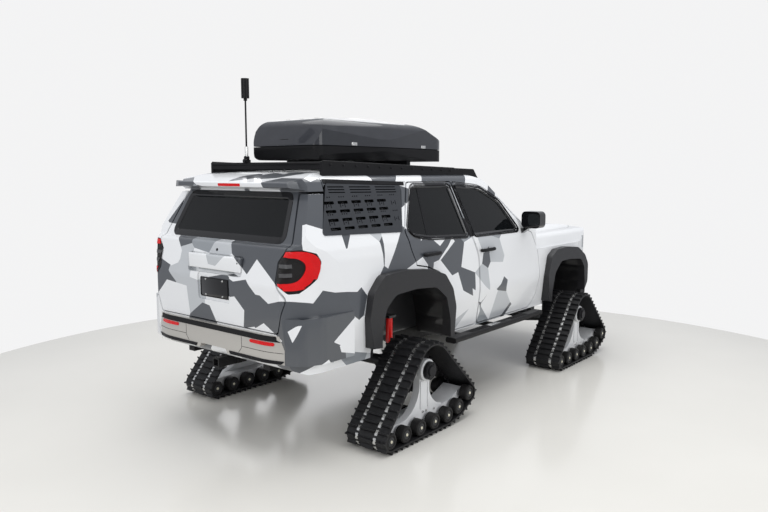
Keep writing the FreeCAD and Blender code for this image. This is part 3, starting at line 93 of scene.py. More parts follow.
class Sock:
    """A node socket that adds Math nodes when it is used in an expression."""

    def __init__(self, graph: "Graph", socket: bpy.types.NodeSocket) -> None:
        """Keep the socket and its graph."""
        self.graph = graph
        self.socket = socket

    def maths(self, operation: str, other: "float | Sock" = 0.0, flip: bool = False) -> "Sock":
        """Add one Math node.

        Args:
            operation: the node's operation.
            other: the second operand.
            flip: put the other operand first.

        Returns:
            The node's result.
        """
        pair = (other, self) if flip else (self, other)
        made = self.graph.node("ShaderNodeMath", {"operation": operation},
                               {0: pair[0], 1: pair[1]})
        return Sock(self.graph, made.outputs[0])

    def __add__(self, other: "float | Sock") -> "Sock":
        """Sum."""
        return self.maths("ADD", other)

    __radd__ = __add__

    def __mul__(self, other: "float | Sock") -> "Sock":
        """Product."""
        return self.maths("MULTIPLY", other)

    __rmul__ = __mul__

    def __sub__(self, other: "float | Sock") -> "Sock":
        """Difference."""
        return self.maths("SUBTRACT", other)

    def __rsub__(self, other: "float | Sock") -> "Sock":
        """Difference, other way round."""
        return self.maths("SUBTRACT", other, flip=True)

    def __gt__(self, other: "float | Sock") -> "Sock":
        """One where greater, else nought."""
        return self.maths("GREATER_THAN", other)

    def __lt__(self, other: "float | Sock") -> "Sock":
        """One where less, else nought."""
        return self.maths("LESS_THAN", other)

    def maximum(self, other: "float | Sock") -> "Sock":
        """The greater of the two."""
        return self.maths("MAXIMUM", other)

    def __abs__(self) -> "Sock":
        """Size without sign."""
        return self.maths("ABSOLUTE")


class Graph:
    """A material's node tree, built from calls and expressions."""

    def __init__(self, name: str) -> None:
        """Make an empty node material with its surface shader and output.

        Args:
            name: the material's name.
        """
        self.material = bpy.data.materials.new(name)
        self.material.use_nodes = True
        self.tree = self.material.node_tree
        self.tree.nodes.clear()
        self.shader = self.tree.nodes.new("ShaderNodeBsdfPrincipled")
        output = self.tree.nodes.new("ShaderNodeOutputMaterial")
        self.tree.links.new(self.shader.outputs[0], output.inputs[0])
        self.point = Sock(self, self.tree.nodes.new("ShaderNodeTexCoord").outputs["Object"])

    def put(self, node: bpy.types.Node, key: int | str, value: object) -> None:
        """Give a socket a value, or a link where the value is a Sock.

        Args:
            node: the node.
            key: the socket's number or name.
            value: a plain value or a Sock.
        """
        if isinstance(value, Sock):
            self.tree.links.new(value.socket, node.inputs[key])
        else:
            node.inputs[key].default_value = value

    def node(self, kind: str, settings: dict | None = None, inputs: dict | None = None
             ) -> bpy.types.Node:
        """Add a node of any type.

        Args:
            kind: the node's type name.
            settings: its attributes.
            inputs: values or Socks by socket.

        Returns:
            The new node.
        """
        made = self.tree.nodes.new(kind)
        for key, value in (settings or {}).items():
            setattr(made, key, value)
        for key, value in (inputs or {}).items():
            self.put(made, key, value)
        return made

    def split(self, vector: "Sock") -> tuple["Sock", "Sock", "Sock"]:
        """The three numbers of a vector."""
        made = self.node("ShaderNodeSeparateXYZ", inputs={0: vector})
        return tuple(Sock(self, made.outputs[index]) for index in range(3))

    def stretched(self, scale: Sequence[float], offset: Sequence[float] = (0, 0, 0)) -> "Sock":
        """Object coordinates times a scale, plus an offset.

        Args:
            scale: factor on each axis.
            offset: shift on each axis.

        Returns:
            The new coordinates.
        """
        made = self.node("ShaderNodeMapping", inputs={0: self.point, "Scale": scale,
                                                      "Location": offset})
        return Sock(self, made.outputs[0])

    def noise(self, scale: float, detail: float = 3.0) -> "Sock":
        """Noise in metres of the object's own coordinates.

        Args:
            scale: how fine it is.
            detail: its octaves.

        Returns:
            A number from nought to one.
        """
        made = self.node("ShaderNodeTexNoise", inputs={
            "Vector": self.point, "Scale": scale, "Detail": detail})
        return Sock(self, made.outputs[0])

    def cells(self, scale: float, vector: "Sock") -> tuple["Sock", "Sock"]:
        """Voronoi cells: a random number for each cell, and each cell's own place.

        Args:
            scale: how fine they are.
            vector: the coordinates.

        Returns:
            The random number and the place.
        """
        made = self.node("ShaderNodeTexVoronoi", inputs={
            "Vector": vector, "Scale": scale, "Randomness": 1.0})
        chance = self.split(Sock(self, made.outputs["Color"]))[0]
        return chance, Sock(self, made.outputs["Position"])

    def mix(self, share: "Sock", low: "Colour | Sock", high: "Colour | Sock") -> "Sock":
        """Mix two colours by a share.

        Args:
            share: how much of the second colour.
            low: the first colour.
            high: the second colour.

        Returns:
            The mixed colour.
        """
        made = self.node("ShaderNodeMix", {"data_type": "RGBA", "clamp_factor": True})
        self.put(made, 0, share)
        for key, value in ((6, low), (7, high)):
            self.put(made, key, value if isinstance(value, Sock) else (*value, 1.0))
        return Sock(self, made.outputs[2])

    def bump(self, height: "Sock", distance: float, strength: float = 1.0) -> "Sock":
        """Turn a height into a normal.

        Args:
            height: the relief.
            distance: its depth in metres.
            strength: how much of it shows.

        Returns:
            The normal.
        """
        made = self.node("ShaderNodeBump", inputs={"Height": height, "Distance": distance,
                                                   "Strength": strength})
        return Sock(self, made.outputs[0])

    def finish(self, **values: object) -> bpy.types.Material:
        """Set the surface shader's sockets by their names, with _ for a space.

        Args:
            values: plain values or Socks by socket name.

        Returns:
            The finished material.
        """
        for key, value in values.items():
            name = key.replace("_", " ").title().replace("Ior", "IOR")
            if isinstance(value, tuple) and len(value) == 3:
                value = (*value, 1.0)
            self.put(self.shader, name, value)
        return self.material


# ---------------------------------------------------------------- finishes


@dataclass(frozen=True)
class Finish:
    """A plain finish with mottled colour, fine grain and some dust or wear."""

    name: str
    slot: str
    colour: Colour
    roughness: float = 0.5
    metallic: float = 0.0
    coat: float = 0.0
    grain_scale: float = 600.0
    grain_depth: float = 0.0002
    mottle: float = 0.15
    mottle_scale: float = 9.0
    dust: float = 0.0
    alpha: float = 1.0
    shine: float = 0.16
    dust_colour: Colour = (0.36, 0.34, 0.31)

    def build(self) -> bpy.types.Material:
        """Make the node material.

        Returns:
            The finished material.
        """
        graph = Graph(self.name)
        patches = graph.noise(self.mottle_scale, 4.0)
        grain = graph.noise(self.grain_scale, 2.0)
        light = tuple(min(1.0, part * (1 + self.mottle)) for part in self.colour)
        dark = tuple(part * (1 - self.mottle) for part in self.colour)
        colour = graph.mix(patches, dark, light)
        if self.dust:
            height = graph.split(graph.point)[2]
            share = (1.0 - height * 1.4) * graph.noise(26.0, 5.0) * self.dust
            colour = graph.mix(share, colour, self.dust_colour)
        rough = patches * 0.16 + (self.roughness - 0.08)
        return graph.finish(base_color=colour, roughness=rough, metallic=self.metallic,
                            coat_weight=self.coat, alpha=self.alpha,
                            specular_ior_level=self.shine,
                            normal=graph.bump(grain, self.grain_depth))


@dataclass(frozen=True)
class Camouflage:
    """White pearl paint under straight-edged patches of three greys."""

    name: str
    slot: str
    front_limit: float
    white: Colour = (0.82, 0.83, 0.84)
    pale: Colour = (0.50, 0.52, 0.54)
    middle: Colour = (0.24, 0.26, 0.28)
    slate: Colour = (0.044, 0.050, 0.060)
    beige: Colour = (0.44, 0.42, 0.385)
    fleck: Colour = (0.55, 0.56, 0.58)
    # Dark tone of the wheelhouse linings, underside and cabin walls, also used as painted shade in
    # the door seam and on the paint edges under the flares.
    lining_and_shade_tone: Colour = (0.012, 0.012, 0.013)
    scale: float = 3.4
    beige_within: float = 0.0  # half width of a beige middle, on the bumper
    patches: tuple = ((3.1, 1.0, 0.00, 0.24, "pale"), (3.1, 1.0, 0.24, 0.34, "middle"),
                      (3.1, 1.0, 0.34, 0.60, "slate"), (9.4, 0.8, 0.64, 0.90, "white"),
                      (9.4, 0.8, 0.00, 0.10, "slate"))  # seed, scale, chance from and to, tone
    inner_half: float = 0.86
    underside: tuple[float, float] = (-2.1, 0.652)  # rear end and top
    bumper_back: float = -2.2
    cabin_length: tuple[float, float] = (-2.0, 0.90)
    cabin_height: tuple[float, float] = (0.66, 1.97)
    cabin_half: float = 0.845
    cabin_slope: tuple[float, float] = (1.160, 0.26)  # half width at the ground, and its fall
    # A band of painted shade in the door seam at the B-pillar, which also darkens the bare door
    # edges beside the black pillar trim: its foot, lean, half width and heights.
    pillar_shade_foot: float = -0.2619
    pillar_shade_lean: float = 0.194
    pillar_shade_half: float = 0.017
    pillar_shade_height: tuple[float, float] = (1.487, 1.955)
    houses: tuple = ((-1.682, -0.692, 1.168, 2.744, 0.354), (1.172, 2.078, 1.134, -0.172, 3.139))

    def layer(self, graph: Graph, seed: float, scale: float) -> tuple[Sock, Sock]:
        """One set of cells: its random number, and whether its cell lies behind the limit.

        Args:
            graph: the material's graph.
            seed: shifts the cells.
            scale: how fine they are.

        Returns:
            The random number and the share.
        """
        vector = graph.stretched((1.0, 1.0, 1.15), (seed, seed * 0.7, seed * 0.3))
        chance, place = graph.cells(scale, vector)
        behind = (graph.split(place)[0] - seed) < self.front_limit
        return chance, behind

    def lining_and_shade_share(self, graph: Graph) -> Sock:
        """Share of the dark tone: bare wheelhouse linings, underside and cabin walls, and painted
        shade in the door seam and on the paint edges under the flares.

        Args:
            graph: the material's graph.

        Returns:
            One where the dark tone shows.
        """
        x, y, z = graph.split(graph.point)
        across = abs(y)
        back, top = self.underside
        under = (z < top) * (across < self.inner_half) * (x > back)
        (back, ahead), (low, high), (wide, fall) = (self.cabin_length, self.cabin_height,
                                                    self.cabin_slope)
        within = (across < wide - z * fall) * (across < self.cabin_half) * (z < high)
        cabin = within * (z > low) * (x > back) * (x < ahead)
        share = cabin.maximum(under)
        # Wheelhouse linings; out to the 0.94 limit the band also darkens the paint edges of the
        # shell and doors under the flares, as painted shade.
        for back, ahead, top, rear_slope, front_slope in self.houses:
            inside = (x > back) * (x < ahead) * (z < top) * (across < 0.94)
            share = share.maximum(inside * (z - x < rear_slope) * (z + x < front_slope))
        # Painted shade in the door seam at the B-pillar; the same band carries the black pillar
        # trim onto the bare door edges.
        foot, head = self.pillar_shade_height
        off_line = abs(x - self.pillar_shade_foot + (z - foot) * self.pillar_shade_lean)
        share = share.maximum((off_line < self.pillar_shade_half) * (z > foot) * (z < head))
        if self.beige_within:
            share = share.maximum((x > self.bumper_back) * (across < self.inner_half))
        return share

    def build(self) -> bpy.types.Material:
        """Make the node material.

        Returns:
            The finished material.
        """
        graph = Graph(self.name)
        colour: Sock | Colour = self.white
        for seed, size, low, high, tone in self.patches:
            chance, behind = self.layer(graph, seed, self.scale * size)
            share = (chance > low) * (chance < high) * behind
            colour = graph.mix(share, colour, getattr(self, tone))
        if self.beige_within:
            across = abs(graph.split(graph.point)[1])
            colour = graph.mix(across < self.beige_within, colour, self.beige)
        fleck = graph.noise(900.0, 1.0)
        drift = graph.noise(1.6, 2.0)
        colour = graph.mix(fleck * 0.05 + drift * 0.03, colour, self.fleck)
        # Dark linings, with painted shade in the door seam and under the flares.
        colour = graph.mix(self.lining_and_shade_share(graph), colour, self.lining_and_shade_tone)
        rough = graph.noise(3.0, 3.0) * 0.08 + 0.26
        return graph.finish(base_color=colour, roughness=rough, coat_weight=0.75,
                            coat_roughness=0.06, specular_ior_level=0.5,
                            normal=graph.bump(graph.noise(420.0, 2.0), 0.00006))


@dataclass(frozen=True)
class TintedGlass:
    """Dark privacy glass, a little see-through."""

    name: str = "privacy_glass"
    slot: str = "glass_dark"
    colour: Colour = (0.003, 0.0035, 0.004)
    alpha: float = 0.94

    def build(self) -> bpy.types.Material:
        """Make the node material.

        Returns:
            The finished material.
        """
        graph = Graph(self.name)
        smear = graph.noise(4.0, 4.0)
        colour = graph.mix(smear, self.colour, tuple(part * 1.8 for part in self.colour))
        return graph.finish(base_color=colour, roughness=smear * 0.03 + 0.02, ior=1.5,
                            specular_ior_level=0.3, alpha=self.alpha,
                            normal=graph.bump(graph.noise(1.4, 1.0), 0.0012))


@dataclass(frozen=True)
class LampLens:
    """A moulded lens whose flutes show in its relief, and in its colour as painted shade in their
    grooves.
    """

    name: str
    slot: str
    colour: Colour
    glow: float = 0.0
    flutes: float = 260.0

    def build(self) -> bpy.types.Material:
        """Make the node material.

        Returns:
            The finished material.
        """
        graph = Graph(self.name)
        wave = graph.node("ShaderNodeTexWave", {"bands_direction": "Z"},
                          {"Vector": graph.point, "Scale": self.flutes, "Distortion": 0.0})
        ridge = Sock(graph, wave.outputs[1])
        # Painted shade: the colour follows the flute relief, darker in the grooves; the noise adds
        # random tone.
        dark = tuple(part * 0.55 for part in self.colour)
        colour = graph.mix(ridge * 0.7 + graph.noise(30.0, 2.0) * 0.3, dark, self.colour)
        return graph.finish(base_color=colour, roughness=ridge * 0.1 + 0.14, coat_weight=0.35,
                            specular_ior_level=0.15, emission_color=colour,
                            emission_strength=self.glow,
                            normal=graph.bump(ridge, 0.0006))


@dataclass(frozen=True)
class Weave:
    """Woven seat cloth with crossing yarns, with painted light on their crests and painted shade
    between them.
    """

    name: str
    slot: str
    colour: Colour
    pitch: float = 0.0035

    def build(self) -> bpy.types.Material:
        """Make the node material.

        Returns:
            The finished material.
        """
        graph = Graph(self.name)
        waves = []
        for direction in ("X", "Y", "Z"):
            made = graph.node("ShaderNodeTexWave", {"bands_direction": direction},
                              {"Vector": graph.point, "Scale": 0.31 / self.pitch,
                               "Distortion": 0.4})
            waves.append(Sock(graph, made.outputs[1]))
        yarn = waves[0] * waves[1] * 0.6 + waves[2] * 0.4
        fuzz = graph.noise(150.0, 3.0)
        # Painted light and shade: the colour follows the yarn relief, lighter on the crests and
        # darker between the yarns; the fuzz adds random tone.
        light = tuple(part * 2.1 for part in self.colour)
        colour = graph.mix(yarn * 0.6 + fuzz * 0.4, self.colour, light)
        return graph.finish(base_color=colour, roughness=fuzz * 0.12 + 0.8,
                            sheen_weight=0.35, normal=graph.bump(yarn, 0.0008))


@dataclass(frozen=True)
class DamperCoat:
    """Red cans on the rear dampers, black springs, rods and brackets."""

    name: str = "damper_coat"
    slot: str = "damper_red"
    low: float = 0.636
    high: float = 0.858
    inner: float = 0.60
    blacks: tuple[Colour, Colour] = ((0.008, 0.008, 0.009), (0.02, 0.02, 0.022))
    reds: tuple[Colour, Colour] = ((0.78, 0.004, 0.003), (0.95, 0.008, 0.006))

    def build(self) -> bpy.types.Material:
        """Make the node material.

        Returns:
            The finished material.
        """
        graph = Graph(self.name)
        x, y, z = graph.split(graph.point)
        can = (z > self.low) * (z < self.high) * (abs(y) > self.inner) * (x < 0)
        worn = graph.noise(14.0, 4.0)
        black = graph.mix(worn, *self.blacks)
        red = graph.mix(worn, *self.reds)
        return graph.finish(base_color=graph.mix(can, black, red), roughness=worn * 0.1 + 0.26,
                            coat_weight=0.3, normal=graph.bump(graph.noise(400.0, 2.0), 0.0002))


@dataclass(frozen=True)
class TreadRubber:
    """Track rubber, scuffed at its crests and dusty low down."""

    name: str = "tread_rubber"
    slot: str = "track_rubber"
    blacks: tuple[Colour, Colour] = ((0.004, 0.004, 0.0045), (0.017, 0.017, 0.019))
    dust_colour: Colour = (0.16, 0.155, 0.15)

    def build(self) -> bpy.types.Material:
        """Make the node material.

        Returns:
            The finished material.
        """
        graph = Graph(self.name)
        scuff = graph.noise(34.0, 6.0)
        grain = graph.noise(380.0, 3.0)
        colour = graph.mix(scuff, *self.blacks)
        low = 0.4 - graph.split(graph.point)[2] * 0.9
        colour = graph.mix(low * graph.noise(60.0, 4.0) * 0.12, colour, self.dust_colour)
        return graph.finish(base_color=colour, roughness=scuff * 0.3 + 0.30,
                            specular_ior_level=0.3,
                            normal=graph.bump(grain * 0.5 + scuff * 0.5, 0.0012))


class Palette:
    """Every finish of the vehicle, built once and found by name."""

    def __init__(self) -> None:
        """Build the materials."""
        plastic = dict(grain_scale=520.0, grain_depth=0.00035, mottle=0.14)
        cast = dict(grain_scale=240.0, grain_depth=0.0007)
        self.finishes = {item.name: item for item in (
            Camouflage("camo_paint", "paint_white", 0.48),
            Camouflage("plain_paint", "paint_white", -9.0),
            Camouflage("bumper_paint", "bumper_grey", 0.48, beige_within=0.745),
            TintedGlass(),
            TintedGlass("screen_glass", alpha=0.62),
            Finish("satin_black", "trim_black", (0.009, 0.009, 0.0105), 0.42, **plastic),
            Finish("flare_coat", "trim_black", (0.020, 0.020, 0.022), 0.44, shine=0.4, **plastic),
            Finish("gloss_black", "trim_black", (0.004, 0.004, 0.005), 0.14, coat=0.8,
                   grain_depth=0.00002),
            Finish("grained_black", "trim_black", (0.012, 0.012, 0.013), 0.58, grain_scale=340.0,
                   grain_depth=0.0008),
            Finish("frame_paint", "frame_black", (0.010, 0.010, 0.011), 0.4, dust=0.25, **cast),
            Finish("rack_coat", "rack_black", (0.0075, 0.0075, 0.0085), 0.46, grain_scale=700.0,
                   grain_depth=0.0004),
            Finish("box_gloss", "box_grey", (0.030, 0.032, 0.038), 0.22, coat=0.55,
                   grain_scale=480.0, grain_depth=0.00015),
            Finish("box_textured", "box_base_black", (0.008, 0.008, 0.009), 0.5,
                   grain_scale=300.0, grain_depth=0.0008),
            Finish("steel_coat", "steel_dark", (0.030, 0.031, 0.034), 0.42, metallic=0.5,
                   dust=0.2, **cast),
            DamperCoat(),
            Finish("panel_coat", "trim_black", (0.026, 0.029, 0.035), 0.42, shine=0.4, **plastic),
            Finish("slot_shade", "trim_black", (0.002, 0.002, 0.0025), 0.8, shine=0.02),
            Finish("engine_cast", "engine_grey", (0.12, 0.12, 0.125), 0.55, metallic=0.6, **cast),
            Finish("exhaust_steel", "exhaust_steel", (0.34, 0.32, 0.30), 0.38, metallic=0.9,
                   mottle=0.3, dust=0.3),
            Finish("dash_grain", "dash_dark", (0.022, 0.022, 0.024), 0.66, **plastic),
            Finish("mast_shell", "mast_dark", (0.007, 0.007, 0.008), 0.4, **plastic),
            Finish("alloy_casting", "track_casting", (0.76, 0.77, 0.78), 0.4, shine=0.5,
                   grain_scale=190.0, grain_depth=0.0005, mottle=0.05, dust=0.08),
            Finish("roller_rubber", "roller_dark", (0.012, 0.012, 0.013), 0.46, mottle=0.3,
                   dust=0.06, grain_scale=300.0, grain_depth=0.0006),
            Finish("wheel_rim", "roller_dark", (0.035, 0.036, 0.039), 0.34, metallic=0.3,
                   mottle=0.2, shine=0.4),
            Finish("sprocket_coat", "sprocket_dark", (0.016, 0.016, 0.018), 0.36, metallic=0.3,
                   **cast),
            Finish("bright_steel", "track_casting", (0.70, 0.70, 0.69), 0.26, metallic=0.95,
                   mottle=0.12, mottle_scale=60.0),
            Finish("cap_ivory", "track_casting", (0.66, 0.63, 0.50), 0.4, coat=0.3),
            Finish("mirror_glass", "glass_dark", (0.05, 0.055, 0.06), 0.10, metallic=0.7),
            Finish("lamp_bowl", "lamp_clear", (0.62, 0.64, 0.66), 0.16, metallic=0.8),
            LampLens("clear_lens", "lamp_clear", (0.55, 0.58, 0.60)),
            # The glow suits the tail lamps; on the bumper reflectors, which share this lens, it is
            # painted glow.
            LampLens("red_lens", "lamp_red", (0.85, 0.001, 0.004), glow=0.12),
            LampLens("grey_lens", "lamp_clear", (0.10, 0.10, 0.104)),
            LampLens("smoked_lens", "lamp_red", (0.006, 0.005, 0.005)),
            Weave("seat_weave", "seat_cloth", (0.020, 0.020, 0.022)),
            TreadRubber(),
        )}
        self.built: dict[str, bpy.types.Material] = {}

    def material(self, name: str) -> bpy.types.Material:
        """The named finish's material, built when first asked for.

        Args:
            name: the finish.

        Returns:
            Its material.
        """
        if name not in self.built:
            self.built[name] = self.finishes[name].build()
        return self.built[name]

    def slot(self, name: str) -> str:
        """The named finish's slot in the record."""
        return self.finishes[name].slot


# ---------------------------------------------------------------- shapes


@dataclass
class Shape:
    """A plain polygon mesh: its corners and faces."""

    verts: list[Vector] = field(default_factory=list)
    faces: list[tuple[int, ...]] = field(default_factory=list)

    def add(self, other: "Shape") -> "Shape":
        """Take in another shape.

        Args:
            other: the shape to take in.

        Returns:
            This shape.
        """
        base = len(self.verts)
        self.verts.extend(other.verts)
        self.faces.extend(tuple(base + corner for corner in face) for face in other.faces)
        return self

    def moved(self, matrix: Matrix) -> "Shape":
        """A copy moved by a matrix.

        Args:
            matrix: the move.

        Returns:
            The moved copy.
        """
        faces = self.faces
        if matrix.determinant() < 0:
            faces = [tuple(reversed(face)) for face in faces]
        return Shape([matrix @ vert for vert in self.verts], list(faces))

    def shifted(self, x: float, y: float, z: float) -> "Shape":
        """A copy moved along."""
        return self.moved(Matrix.Translation((x, y, z)))

    def mirrored(self) -> "Shape":
        """The same shape on the other side of the vehicle."""
        return self.moved(Matrix.Scale(-1, 4, (0, 1, 0)))


def joined(shapes: Iterable[Shape]) -> Shape:
    """One shape out of several.

    Args:
        shapes: the shapes, in order.

    Returns:
        The whole.
    """
    whole = Shape()
    for shape in shapes:
        whole.add(shape)
    return whole


def from_bmesh(mesh: bmesh.types.BMesh) -> Shape:
    """Read a bmesh's corners and faces, then free it.

    Args:
        mesh: the bmesh.

    Returns:
        Its shape.
    """
    mesh.verts.index_update()
    shape = Shape([vert.co.copy() for vert in mesh.verts],
                  [tuple(vert.index for vert in face.verts) for face in mesh.faces])
    mesh.free()
    return shape


def block(low: Sequence[float], high: Sequence[float], radius: float = 0.003,
          segments: int = 2) -> Shape:
    """A box with rounded edges between two corners.

    Args:
        low: the lower corner.
        high: the upper corner.
        radius: the edges' radius.
        segments: steps of each round.

    Returns:
        The closed box.
    """
    mesh = bmesh.new()
    bmesh.ops.create_cube(mesh, size=1.0)
    low, high = Vector(low), Vector(high)
    size, centre = high - low, (high + low) / 2
    for vert in mesh.verts:
        vert.co = Vector(centre[axis] + vert.co[axis] * size[axis] for axis in range(3))
    bmesh.ops.bevel(mesh, geom=mesh.edges[:], offset=min(radius, min(size) * 0.45),
                    segments=segments, profile=0.5, affect="EDGES")
    return from_bmesh(mesh)


def lofted(rings: Sequence[Sequence[Vector]], closed: bool = False) -> Shape:
    """Skin a row of equal rings, capped at both ends unless it closes on itself.

    Args:
        rings: the rings in order.
        closed: the row is a loop.

    Returns:
        The closed skin.
    """
    wide, count = len(rings[0]), len(rings)
    shape = Shape([spot for ring in rings for spot in ring])
    for index in range(count if closed else count - 1):
        here, ahead = index * wide, (index + 1) % count * wide
        for step in range(wide):
            beside = (step + 1) % wide
            shape.faces.append((here + step, here + beside, ahead + beside, ahead + step))
    if not closed:
        shape.faces.append(tuple(reversed(range(wide))))
        shape.faces.append(tuple(range((count - 1) * wide, count * wide)))
    return shape


def turns(count: int) -> list[float]:
    """Angles that share out a full turn."""
    return [2 * math.pi * step / count for step in range(count)]


def turned(profile: Line, centre: Sequence[float], axis: Sequence[float],
           sides: int = 28) -> Shape:
    """Turn a profile of (radius, height) round an axis, closed at both ends.

    Args:
        profile: points from the low end to the high end.
        centre: where height 0 is.
        axis: the direction of height.
        sides: facets round it.

    Returns:
        The closed turned shape.
    """
    spin = Vector(axis).normalized().to_track_quat("Z", "Y").to_matrix().to_4x4()
    place = Matrix.Translation(centre) @ spin
    return lofted([[place @ Vector((radius * math.cos(turn), radius * math.sin(turn), height))
                    for turn in turns(sides)] for radius, height in profile])


def disc(radius: float, thick: float, centre: Sequence[float], axis: Sequence[float],
         edge: float = 0.002, sides: int = 28) -> Shape:
    """A short cylinder with softened rims.

    Args:
        radius: its radius.
        thick: its height.
        centre: the middle of its low face.
        axis: the way it stands.
        edge: size of the softened rims.
        sides: facets round it.

    Returns:
        The closed cylinder.
    """
    edge = min(edge, radius * 0.3, thick * 0.4)
    return turned([(radius - edge, 0), (radius, edge), (radius, thick - edge),
                   (radius - edge, thick)], centre, axis, sides)


def bolt(centre: Sequence[float], axis: Sequence[float], size: float = 0.009) -> Shape:
    """A hexagon bolt head on its washer.

    Args:
        centre: the middle of the washer's low face.
        axis: the way it stands.
        size: radius over the corners.

    Returns:
        Head and washer.
    """
    washer = disc(size * 1.25, size * 0.25, centre, axis, sides=16)
    top = Vector(centre) + Vector(axis).normalized() * size * 0.2
    return washer.add(turned([(size * 0.96, 0), (size, size * 0.1), (size, size * 0.6),
                              (size * 0.85, size * 0.75)], top, axis, 6))


def directions(line: Sequence[Vector], closed: bool) -> list[Vector]:
    """The way that a line runs at each of its points.

    Args:
        line: the points.
        closed: the line is a loop.

    Returns:
        One unit vector for each point.
    """
    count = len(line)
    ways = []
    for index, point in enumerate(line):
        before = line[index - 1] if index or closed else point
        after = line[(index + 1) % count] if index + 1 < count or closed else point
        ways.append((after - before).normalized())
    return ways


def swept(points: Sequence[Sequence[float]], radius: float, sides: int = 12,
          closed: bool = False) -> Shape:
    """A round bar along points.

    Args:
        points: the bar's middle line.
        radius: its radius.
        sides: facets round it.
        closed: the line is a loop.

    Returns:
        The closed bar.
    """
    line = [Vector(point) for point in points]
    rings = []
    for point, along in zip(line, directions(line, closed)):
        upright = Vector((0, 0, 1)) if abs(along.z) < 0.95 else Vector((1, 0, 0))
        side = along.cross(upright).normalized()
        lift = side.cross(along)
        rings.append([point + (side * math.cos(turn) + lift * math.sin(turn)) * radius
                      for turn in turns(sides)])
    return lofted(rings, closed)


def rectangle(left: float, low: float, right: float, high: float) -> Line:
    """Four corners in order."""
    return (left, low), (right, low), (right, high), (left, high)


def handed(line: Line, side: float) -> list[tuple[float, float]]:
    """A left-hand line on either side."""
    return [(side * across, height) for across, height in line]


def flat_rear(x: float) -> Place:
    """A flat surface that faces backward at x."""
    return lambda y, z: (Vector((x, y, z)), Vector(BACKWARD))


def rounded_line(points: Line, rounds: int = 2) -> list[tuple[float, float]]:
    """An open line with its corners cut, so that it bends smoothly.

    Args:
        points: the line.
        rounds: how often the corners are cut.

    Returns:
        The smoother line.
    """
    line = [Vector(point) for point in points]
    for _ in range(rounds):
        cut = [line[0]]
        for start, end in zip(line, line[1:]):
            cut.extend((start.lerp(end, 0.25), start.lerp(end, 0.75)))
        cut.append(line[-1])
        line = cut
    return [(point.x, point.y) for point in line]


def rounded(points: Line, radius: float, steps: int = 5) -> list[tuple[float, float]]:
    """A closed outline with each corner turned into an arc-like curve.

    Args:
        points: the outline's corners.
        radius: how far each curve reaches.
        steps: parts of each curve.

    Returns:
        The rounded outline.
    """
    out = []
    count = len(points)
    for index, corner in enumerate(points):
        here = Vector(corner)
        before, after = Vector(points[index - 1]), Vector(points[(index + 1) % count])
        reach = min(radius, (before - here).length * 0.45, (after - here).length * 0.45)
        start = here + (before - here).normalized() * reach
        end = here + (after - here).normalized() * reach
        for step in range(steps + 1):
            share = step / steps
            spot = start * (1 - share) ** 2 + here * 2 * share * (1 - share) + end * share ** 2
            out.append((spot.x, spot.y))
    return out


def spaced(line: Line, gap: float, closed: bool) -> list[Vector]:
    """Points along a line, no further apart than a gap.

    Args:
        line: the line's corners.
        gap: the longest step.
        closed: the line is a loop.

    Returns:
        The points in order.
    """
    out = []
    count = len(line)
    for index in range(count if closed else count - 1):
        start, end = Vector(line[index]), Vector(line[(index + 1) % count])
        parts = max(1, math.ceil((end - start).length / gap))
        out.extend(start.lerp(end, part / parts) for part in range(parts))
    if not closed:
        out.append(Vector(line[-1]))
    return out


def ribbon(line: Line, width: float, lift: float, place: Place,
           closed: bool = True, gap: float = 0.03) -> Shape:
    """A raised strip that follows a line drawn over a surface.

    Args:
        line: the strip's middle, in the surface's two coordinates.
        width: the strip's width.
        lift: its height over the surface.
        place: gives the surface's point and normal.
        closed: the line is a loop.
        gap: longest step between stations.

    Returns:
        The closed strip.
    """
    stations = spaced(line, gap, closed)
    rings = []
    for point, along in zip(stations, directions(stations, closed)):
        across = Vector((-along.y, along.x))
        ring = []
        for side, height in ((-1, -STRIP_FOOT), (-0.8, lift), (0.8, lift), (1, -STRIP_FOOT)):
            spot = point + across * side * width / 2
            foot, normal = place(spot.x, spot.y)
            ring.append(foot + normal * height)
        rings.append(ring)
    return lofted(rings, closed)


def between(outer: Line, inner: Line, lift: float, place: Place, steps: int = 5) -> Shape:
    """A raised plate that fills the room between two lines of equal length.

    Args:
        outer: one edge.
        inner: the other edge.
        lift: height over the surface.
        place: gives the surface's point and normal.
        steps: divisions from edge to edge.

    Returns:
        The closed plate.
    """
    rings = []
    for first, last in zip(outer, inner):
        ring = []
        for step in range(-1, steps + 2):
            spot = Vector(first).lerp(Vector(last), min(max(step, 0), steps) / steps)
            foot, normal = place(spot.x, spot.y)
            ring.append(foot + normal * (lift if 0 <= step <= steps else -PLATE_FOOT))
        rings.append(ring)
    return lofted(rings)


